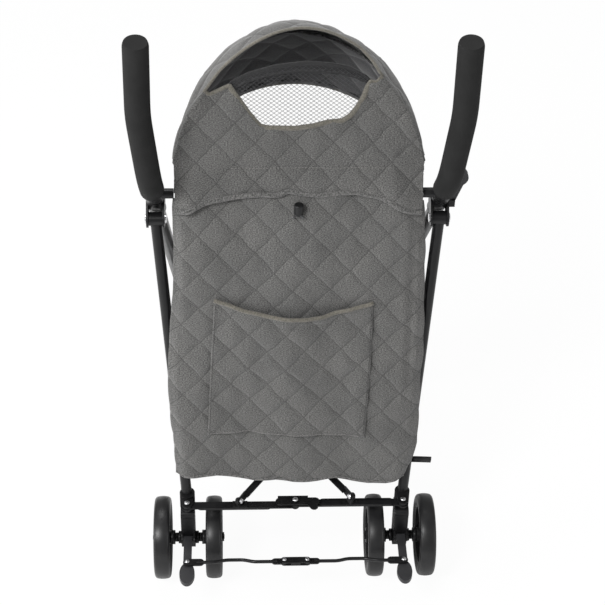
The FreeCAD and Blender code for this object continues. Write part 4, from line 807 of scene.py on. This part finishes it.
def make_pocket():
    columns = 81
    rows = 81
    verts, uvs = [], []
    for row in range(rows):
        share_up = 1 - row / (rows - 1)
        for column in range(columns):
            share_x = column / (columns - 1)
            rough_x = -140 + 260 * share_x
            low = along(POCKET_HEM, rough_x)
            top = along(POCKET_TOP, rough_x)
            z = low + (top - low) * share_up
            x = along(POCKET_LEFT, z) + (along(POCKET_RIGHT, z) - along(POCKET_LEFT, z)) * share_x
            verts.append(pocket_point(x, share_up))
            uvs.append((x + QUILT_SHIFT + 11, z - 647 + 9))
    pocket = mesh_object("pocket_cloth", verts, turned(grid_faces(rows, columns)), uvs)
    quilted(pocket, 2.6)
    wear(pocket, cloth_quilted)
    thicken(pocket, 2.0)
    top = [pocket_point(x, 1.0) + Vector((0, -1.4, 0)) for x in np.linspace(-134, 122, 60)]
    rim = band("pocket_binding", top, rear_side, 7.5, 4.6)
    wear(rim, cloth_binding)
    lines = []
    down = [pocket_point(along(POCKET_LEFT, z) + 3, (z - 316) / 250) for z in range(318, 562, 6)]
    lines.append([p + Vector((0, -2.6, 0)) for p in down])
    down = [pocket_point(along(POCKET_RIGHT, z) - 3, (z - 308) / 252) for z in range(312, 556, 6)]
    lines.append([p + Vector((0, -2.6, 0)) for p in down])
    lines.append([pocket_point(x, 0.012) + Vector((0, -2.6, 0)) for x in range(-144, 112, 5)])
    rows_made = []
    for index, line in enumerate(lines):
        sewn = stitches(f"pocket_stitches_{index}", line, rear_side)
        wear(sewn, thread_light if index == 2 else thread_dark)
        rows_made.append(sewn)
    return pocket, rim, rows_made


back_cloth, hem_points = make_panel()
pocket_cloth, pocket_rim, pocket_sewn = make_pocket()
panel_hem = band("back_panel_hem", [p + Vector((0, -0.8, 1.5)) for p in hem_points], rear_side, 6, 4.6)
wear(panel_hem, cloth_plain)

# Padded pieces

def puffed(label, name, body, valleys, axis, depth):
    """Blows a packed cushion up between its sewn channels."""
    source = frame["nodes"][label]
    mesh = source.data.copy()
    cushion = bpy.data.objects.new(name, mesh)
    scene.collection.objects.link(cushion)
    bpy.context.view_layer.objects.active = cushion
    remesh = cushion.modifiers.new("remesh", "REMESH")
    remesh.mode = "VOXEL"
    remesh.voxel_size = 5.0 * MM
    bpy.context.view_layer.update()
    baked = bpy.data.meshes.new_from_object(cushion.evaluated_get(bpy.context.evaluated_depsgraph_get()))
    cushion.modifiers.clear()
    cushion.data = baked
    rest = np.array([v.co for v in baked.vertices], float)
    run = rest @ np.array(axis)
    low, high = run.min(), run.max()
    share = (run - low) / (high - low)
    nearest = np.min(np.abs(share[:, None] - np.array(valleys)[None]), axis=1) * (high - low)
    pinned = [int(i) for i in np.where(nearest < 3.2 * MM)[0]]
    pins = cushion.vertex_groups.new(name="sewn")
    pins.add(pinned, 1.0, "REPLACE")
    cloth = cushion.modifiers.new("Cloth", "CLOTH")
    cloth.settings.use_pressure = True
    cloth.settings.uniform_pressure_force = 4.0
    cloth.settings.vertex_group_mass = "sewn"
    cloth.settings.quality = 6
    cloth.settings.mass = 0.3
    cloth.settings.tension_stiffness = 20
    cloth.settings.compression_stiffness = 20
    cloth.settings.bending_stiffness = 0.6
    cloth.collision_settings.use_collision = False
    cloth.settings.effector_weights.gravity = 0.0
    cloth.point_cache.frame_start = 1
    cloth.point_cache.frame_end = 20
    for moment in range(1, 21):
        scene.frame_set(moment)
    graph = bpy.context.evaluated_depsgraph_get()
    settled = bpy.data.meshes.new_from_object(cushion.evaluated_get(graph))
    cushion.modifiers.clear()
    after = np.array([v.co for v in settled.vertices], float)
    scene.frame_set(1)
    move = after - rest
    length = np.linalg.norm(move, axis=1)
    limit = depth * MM
    factor = np.where(length > limit, limit / np.maximum(length, 1e-9), 1.0)
    final = rest + move * factor[:, None]
    for vertex, place in zip(baked.vertices, final):
        vertex.co = place
    layer = baked.uv_layers.new(name="UVMap")
    for loop in baked.loops:
        place = final[loop.vertex_index]
        layer.data[loop.index].uv = (place[0], float(place @ np.array(axis)))
    baked.polygons.foreach_set("use_smooth", [True] * len(baked.polygons))
    finer = cushion.modifiers.new("finer", "SUBSURF")
    finer.levels = 1
    finer.render_levels = 1
    wear(cushion, cloth_plain)
    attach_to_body(cushion, body)
    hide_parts(label)
    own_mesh(cushion)
    return cushion


SEAT_SEAMS = [0, 0.25, 0.5, 0.75, 1.0]
BACKREST_SEAMS = [0, 0.2, 0.4, 0.6, 0.8, 1.0]
puffed("seat_pad", "seat_cushion", "left_frame", SEAT_SEAMS, (0, 0.98, 0.2), 5)
puffed("backrest_pad", "backrest_cushion", "backrest", BACKREST_SEAMS, (0, 0, 1), 5)


def copy_sheet(label, name, finish):
    """A cloth copy of a packed sheet, with a UV map for its weave."""
    mesh = frame["nodes"][label].data.copy()
    thing = bpy.data.objects.new(name, mesh)
    scene.collection.objects.link(thing)
    layer = mesh.uv_layers.get("UVMap") or mesh.uv_layers.new(name="UVMap")
    for loop in mesh.loops:
        place = mesh.vertices[loop.vertex_index].co
        layer.data[loop.index].uv = (place.x, place.y + place.z)
    wear(thing, finish)
    return thing


calf_cloth = copy_sheet("calf_rest", "calf_cloth", cloth_plain)
foot_loop = copy_sheet("foot_strap", "foot_loop", strap_black)
shoulder_straps = copy_sheet("harness_straps", "shoulder_straps", strap_black)

# What carries each soft piece

def attach(thing, body, replaced=()):
    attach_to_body(thing, body)
    if replaced:
        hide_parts(*replaced)
    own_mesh(thing)


attach(canopy_cloth, "left_frame", ["canopy"])
attach(front_cloth, "canopy_hood", ["canopy_front"])
attach(front_binding, "canopy_hood")
attach(window_band, "left_frame")
attach(window_net, "left_frame", ["canopy_mesh"])
for piece in (hem_binding, window_binding, corner_left, corner_right, flap_casing, flap_stitch):
    attach(piece, "left_frame")
attach(back_cloth, "left_rear_leg", ["back_panel"])
for piece in (pocket_cloth, pocket_rim, panel_hem, *pocket_sewn):
    attach(piece, "left_rear_leg")
attach(calf_cloth, "left_frame", ["calf_rest"])
attach(foot_loop, "left_frame", ["foot_strap"])
attach(shoulder_straps, "backrest", ["harness_straps"])


# Bright rivet heads

def dome(name, place, direction, radius, height, body):
    """A low domed rivet head standing on a face."""
    direction = Vector(direction).normalized()
    side = direction.orthogonal().normalized()
    other = direction.cross(side)
    verts, faces = [], []
    rings = 5
    segments = 20
    for ring in range(rings):
        angle = math.pi / 2 * ring / rings
        for step in range(segments):
            turn = 2 * math.pi * step / segments
            out = side * math.cos(turn) + other * math.sin(turn)
            rise = direction * (height * math.sin(angle))
            verts.append(Vector(place) + out * (radius * math.cos(angle)) + rise)
    verts.append(Vector(place) + direction * height)
    for ring in range(rings - 1):
        for step in range(segments):
            a = ring * segments + step
            b = ring * segments + (step + 1) % segments
            faces.append((a, b, b + segments, a + segments))
    last = (rings - 1) * segments
    for step in range(segments):
        faces.append((last + step, last + (step + 1) % segments, len(verts) - 1))
    faces.append(tuple(reversed(range(segments))))
    head = mesh_object(name, verts, faces)
    wear(head, steel)
    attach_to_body(head, body)
    return head


def joint_of(name):
    return next(j for j in frame["joints"] if j["name"] == name)


for side, name in ((-1, "left"), (1, "right")):
    leg = f"{name}_rear_leg"
    bar = f"crossbar_{name}"
    bar_low = 168.4 if side < 0 else 171.7
    dome(f"{name}_bar_rivet", (side * AXLE_X, BAR_Y, bar_low + 9.7), (0, 0, 1), 4.6, 2.0, leg)
    pedal_pin = (side * AXLE_X, LINK_Y, 109.75)
    dome(f"{name}_pedal_rivet", pedal_pin, (0, 0, 1), 4.2, 1.8, f"brake_pedal_{name}")
    dome(f"{name}_sleeve_rivet", (side * 19.5, LINK_Y, 111.35), (0, 0, 1), 3.6, 1.5, "brake_sleeve")
    joint = joint_of(f"cross_arm_{name}_rivet")
    centre = Vector(joint["pos_m"]) / MM
    axis = Vector(joint["axis"]).normalized()
    toward = axis if (side < 0) == (axis.x > 0) else -axis
    dome(f"{name}_arm_rivet", centre + toward * 3.75, toward, 4.6, 1.8, bar)
dome("centre_nut", (0, BAR_Y, 183.25), (0, 0, 1), 5.0, 2.4, "crossbar_left")


def round_bar(name, start, end, radii, body, finish):
    """A turned bar along one line; radii gives its outline as shares of the length."""
    start = Vector(start)
    end = Vector(end)
    direction = (end - start).normalized()
    side = direction.orthogonal().normalized()
    other = direction.cross(side)
    segments = 28
    verts, faces = [], []
    for share, radius in radii:
        centre = start.lerp(end, share)
        for step in range(segments):
            turn = 2 * math.pi * step / segments
            verts.append(centre + (side * math.cos(turn) + other * math.sin(turn)) * radius)
    for ring in range(len(radii) - 1):
        for step in range(segments):
            a = ring * segments + step
            b = ring * segments + (step + 1) % segments
            faces.append((a, b, b + segments, a + segments))
    faces.append(tuple(reversed(range(segments))))
    faces.append(tuple(range((len(radii) - 1) * segments, len(radii) * segments)))
    bar = mesh_object(name, verts, faces)
    bar.data.polygons.foreach_set("use_smooth", [len(f.vertices) == 4 for f in bar.data.polygons])
    wear(bar, finish)
    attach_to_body(bar, body)
    return bar


def hub_sleeves(side, name):
    """Stepped sleeves on the rear axle between the moulded foot and each wheel."""
    outer_low, outer_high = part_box(f"{name}_rear_outer_rim")
    inner_low, inner_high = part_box(f"{name}_rear_inner_rim")
    axle_low, axle_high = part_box(f"{name}_rear_axle")
    y = (axle_low.y + axle_high.y) / 2 / MM
    z = (axle_low.z + axle_high.z) / 2 / MM
    half = SLEEVE_FOOT_HALF
    centre = side * AXLE_X
    outer_face = outer_high.x if side < 0 else outer_low.x
    inner_face = inner_low.x if side < 0 else inner_high.x
    rims = [outer_face / MM, inner_face / MM]
    for index, rim in enumerate(rims):
        way = 1 if rim > centre else -1
        start = centre + way * half
        end = rim - way * 0.6
        if (end - start) * way < 3:
            continue
        profile = [(0, 11), (0.3, 11), (0.32, 8), (0.62, 8), (0.64, 12.5), (1, 12.5)]
        round_bar(f"{name}_hub_sleeve_{index}", (start, y, z), (end, y, z), profile,
                  f"{name}_rear_leg", plastic_black)


hub_sleeves(-1, "left")
hub_sleeves(1, "right")

latch_line = [(196, -191, 224), (212, -191, 223.5), (236, -191, 222)]
latch = band("storage_latch", latch_line, Vector((0, -1, 0)), 14, 6)
wear(latch, plastic_black)
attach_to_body(latch, "right_rear_leg")

toggle_low, toggle_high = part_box("cord_toggle")
toggle_at = (toggle_low + toggle_high) / 2 / MM
for index, (dx, dz) in enumerate(((-9, -12), (8, -11))):
    path = [toggle_at + Vector((0, -5, -6)), toggle_at + Vector((dx * 0.7, -7, -8)),
            toggle_at + Vector((dx, -5, dz)), toggle_at + Vector((dx * 0.5, -3, dz - 3))]
    tail = band(f"cord_tail_{index}", path, Vector((0, -1, 0)), 3.0, 3.0)
    wear(tail, strap_black)
    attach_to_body(tail, "cord_toggle")

# Floor, backdrop and light

def make_floor():
    size = 14.0
    verts = [(-size, -size, -0.0006), (size, -size, -0.0006), (size, size, -0.0006), (-size, size, -0.0006)]
    mesh = bpy.data.meshes.new("floor")
    mesh.from_pydata(verts, [], [(0, 1, 2, 3)])
    floor = bpy.data.objects.new("floor", mesh)
    scene.collection.objects.link(floor)
    made = bpy.data.materials.new("floor_white")
    made.use_nodes = True
    tree = made.node_tree
    shader = tree.nodes["Principled BSDF"]
    shader.inputs["Base Color"].default_value = (0.9, 0.9, 0.9, 1)
    shader.inputs["Roughness"].default_value = 0.9
    shader.inputs["Specular IOR Level"].default_value = 0.0
    glow = node(tree, "ShaderNodeEmission")
    glow.inputs["Strength"].default_value = 1.0
    rays = node(tree, "ShaderNodeLightPath")
    share = maths(tree, "MULTIPLY", rays.outputs["Is Camera Ray"], 0.95)
    mixed = node(tree, "ShaderNodeMixShader")
    tree.links.new(share, mixed.inputs[0])
    tree.links.new(shader.outputs[0], mixed.inputs[1])
    tree.links.new(glow.outputs[0], mixed.inputs[2])
    tree.links.new(mixed.outputs[0], tree.nodes["Material Output"].inputs["Surface"])
    mesh.materials.append(made)


def area_light(name, place, target, size, power):
    data = bpy.data.lights.new(name, "AREA")
    data.shape = "DISK"
    data.size = size
    data.energy = power
    lamp = bpy.data.objects.new(name, data)
    scene.collection.objects.link(lamp)
    lamp.location = place
    aim = Vector(target) - Vector(place)
    lamp.rotation_mode = "QUATERNION"
    lamp.rotation_quaternion = aim.to_track_quat("-Z", "Y")


make_floor()
world = bpy.data.worlds.new("studio")
scene.world = world
world.use_nodes = True
backdrop = world.node_tree.nodes["Background"]
backdrop.inputs["Color"].default_value = (1, 1, 1, 1)
backdrop.inputs["Strength"].default_value = 0.42
area_light("key", (-1.5, -2.1, 3.1), (0, -0.1, 0.5), 1.0, 92)
area_light("side", (-3.2, -1.0, 1.5), (0, -0.1, 0.6), 1.4, 62)
area_light("fill", (2.6, -1.6, 1.4), (0, -0.1, 0.5), 1.6, 12)
area_light("top", (-0.3, 1.1, 3.2), (0, 0, 0.6), 1.2, 34)
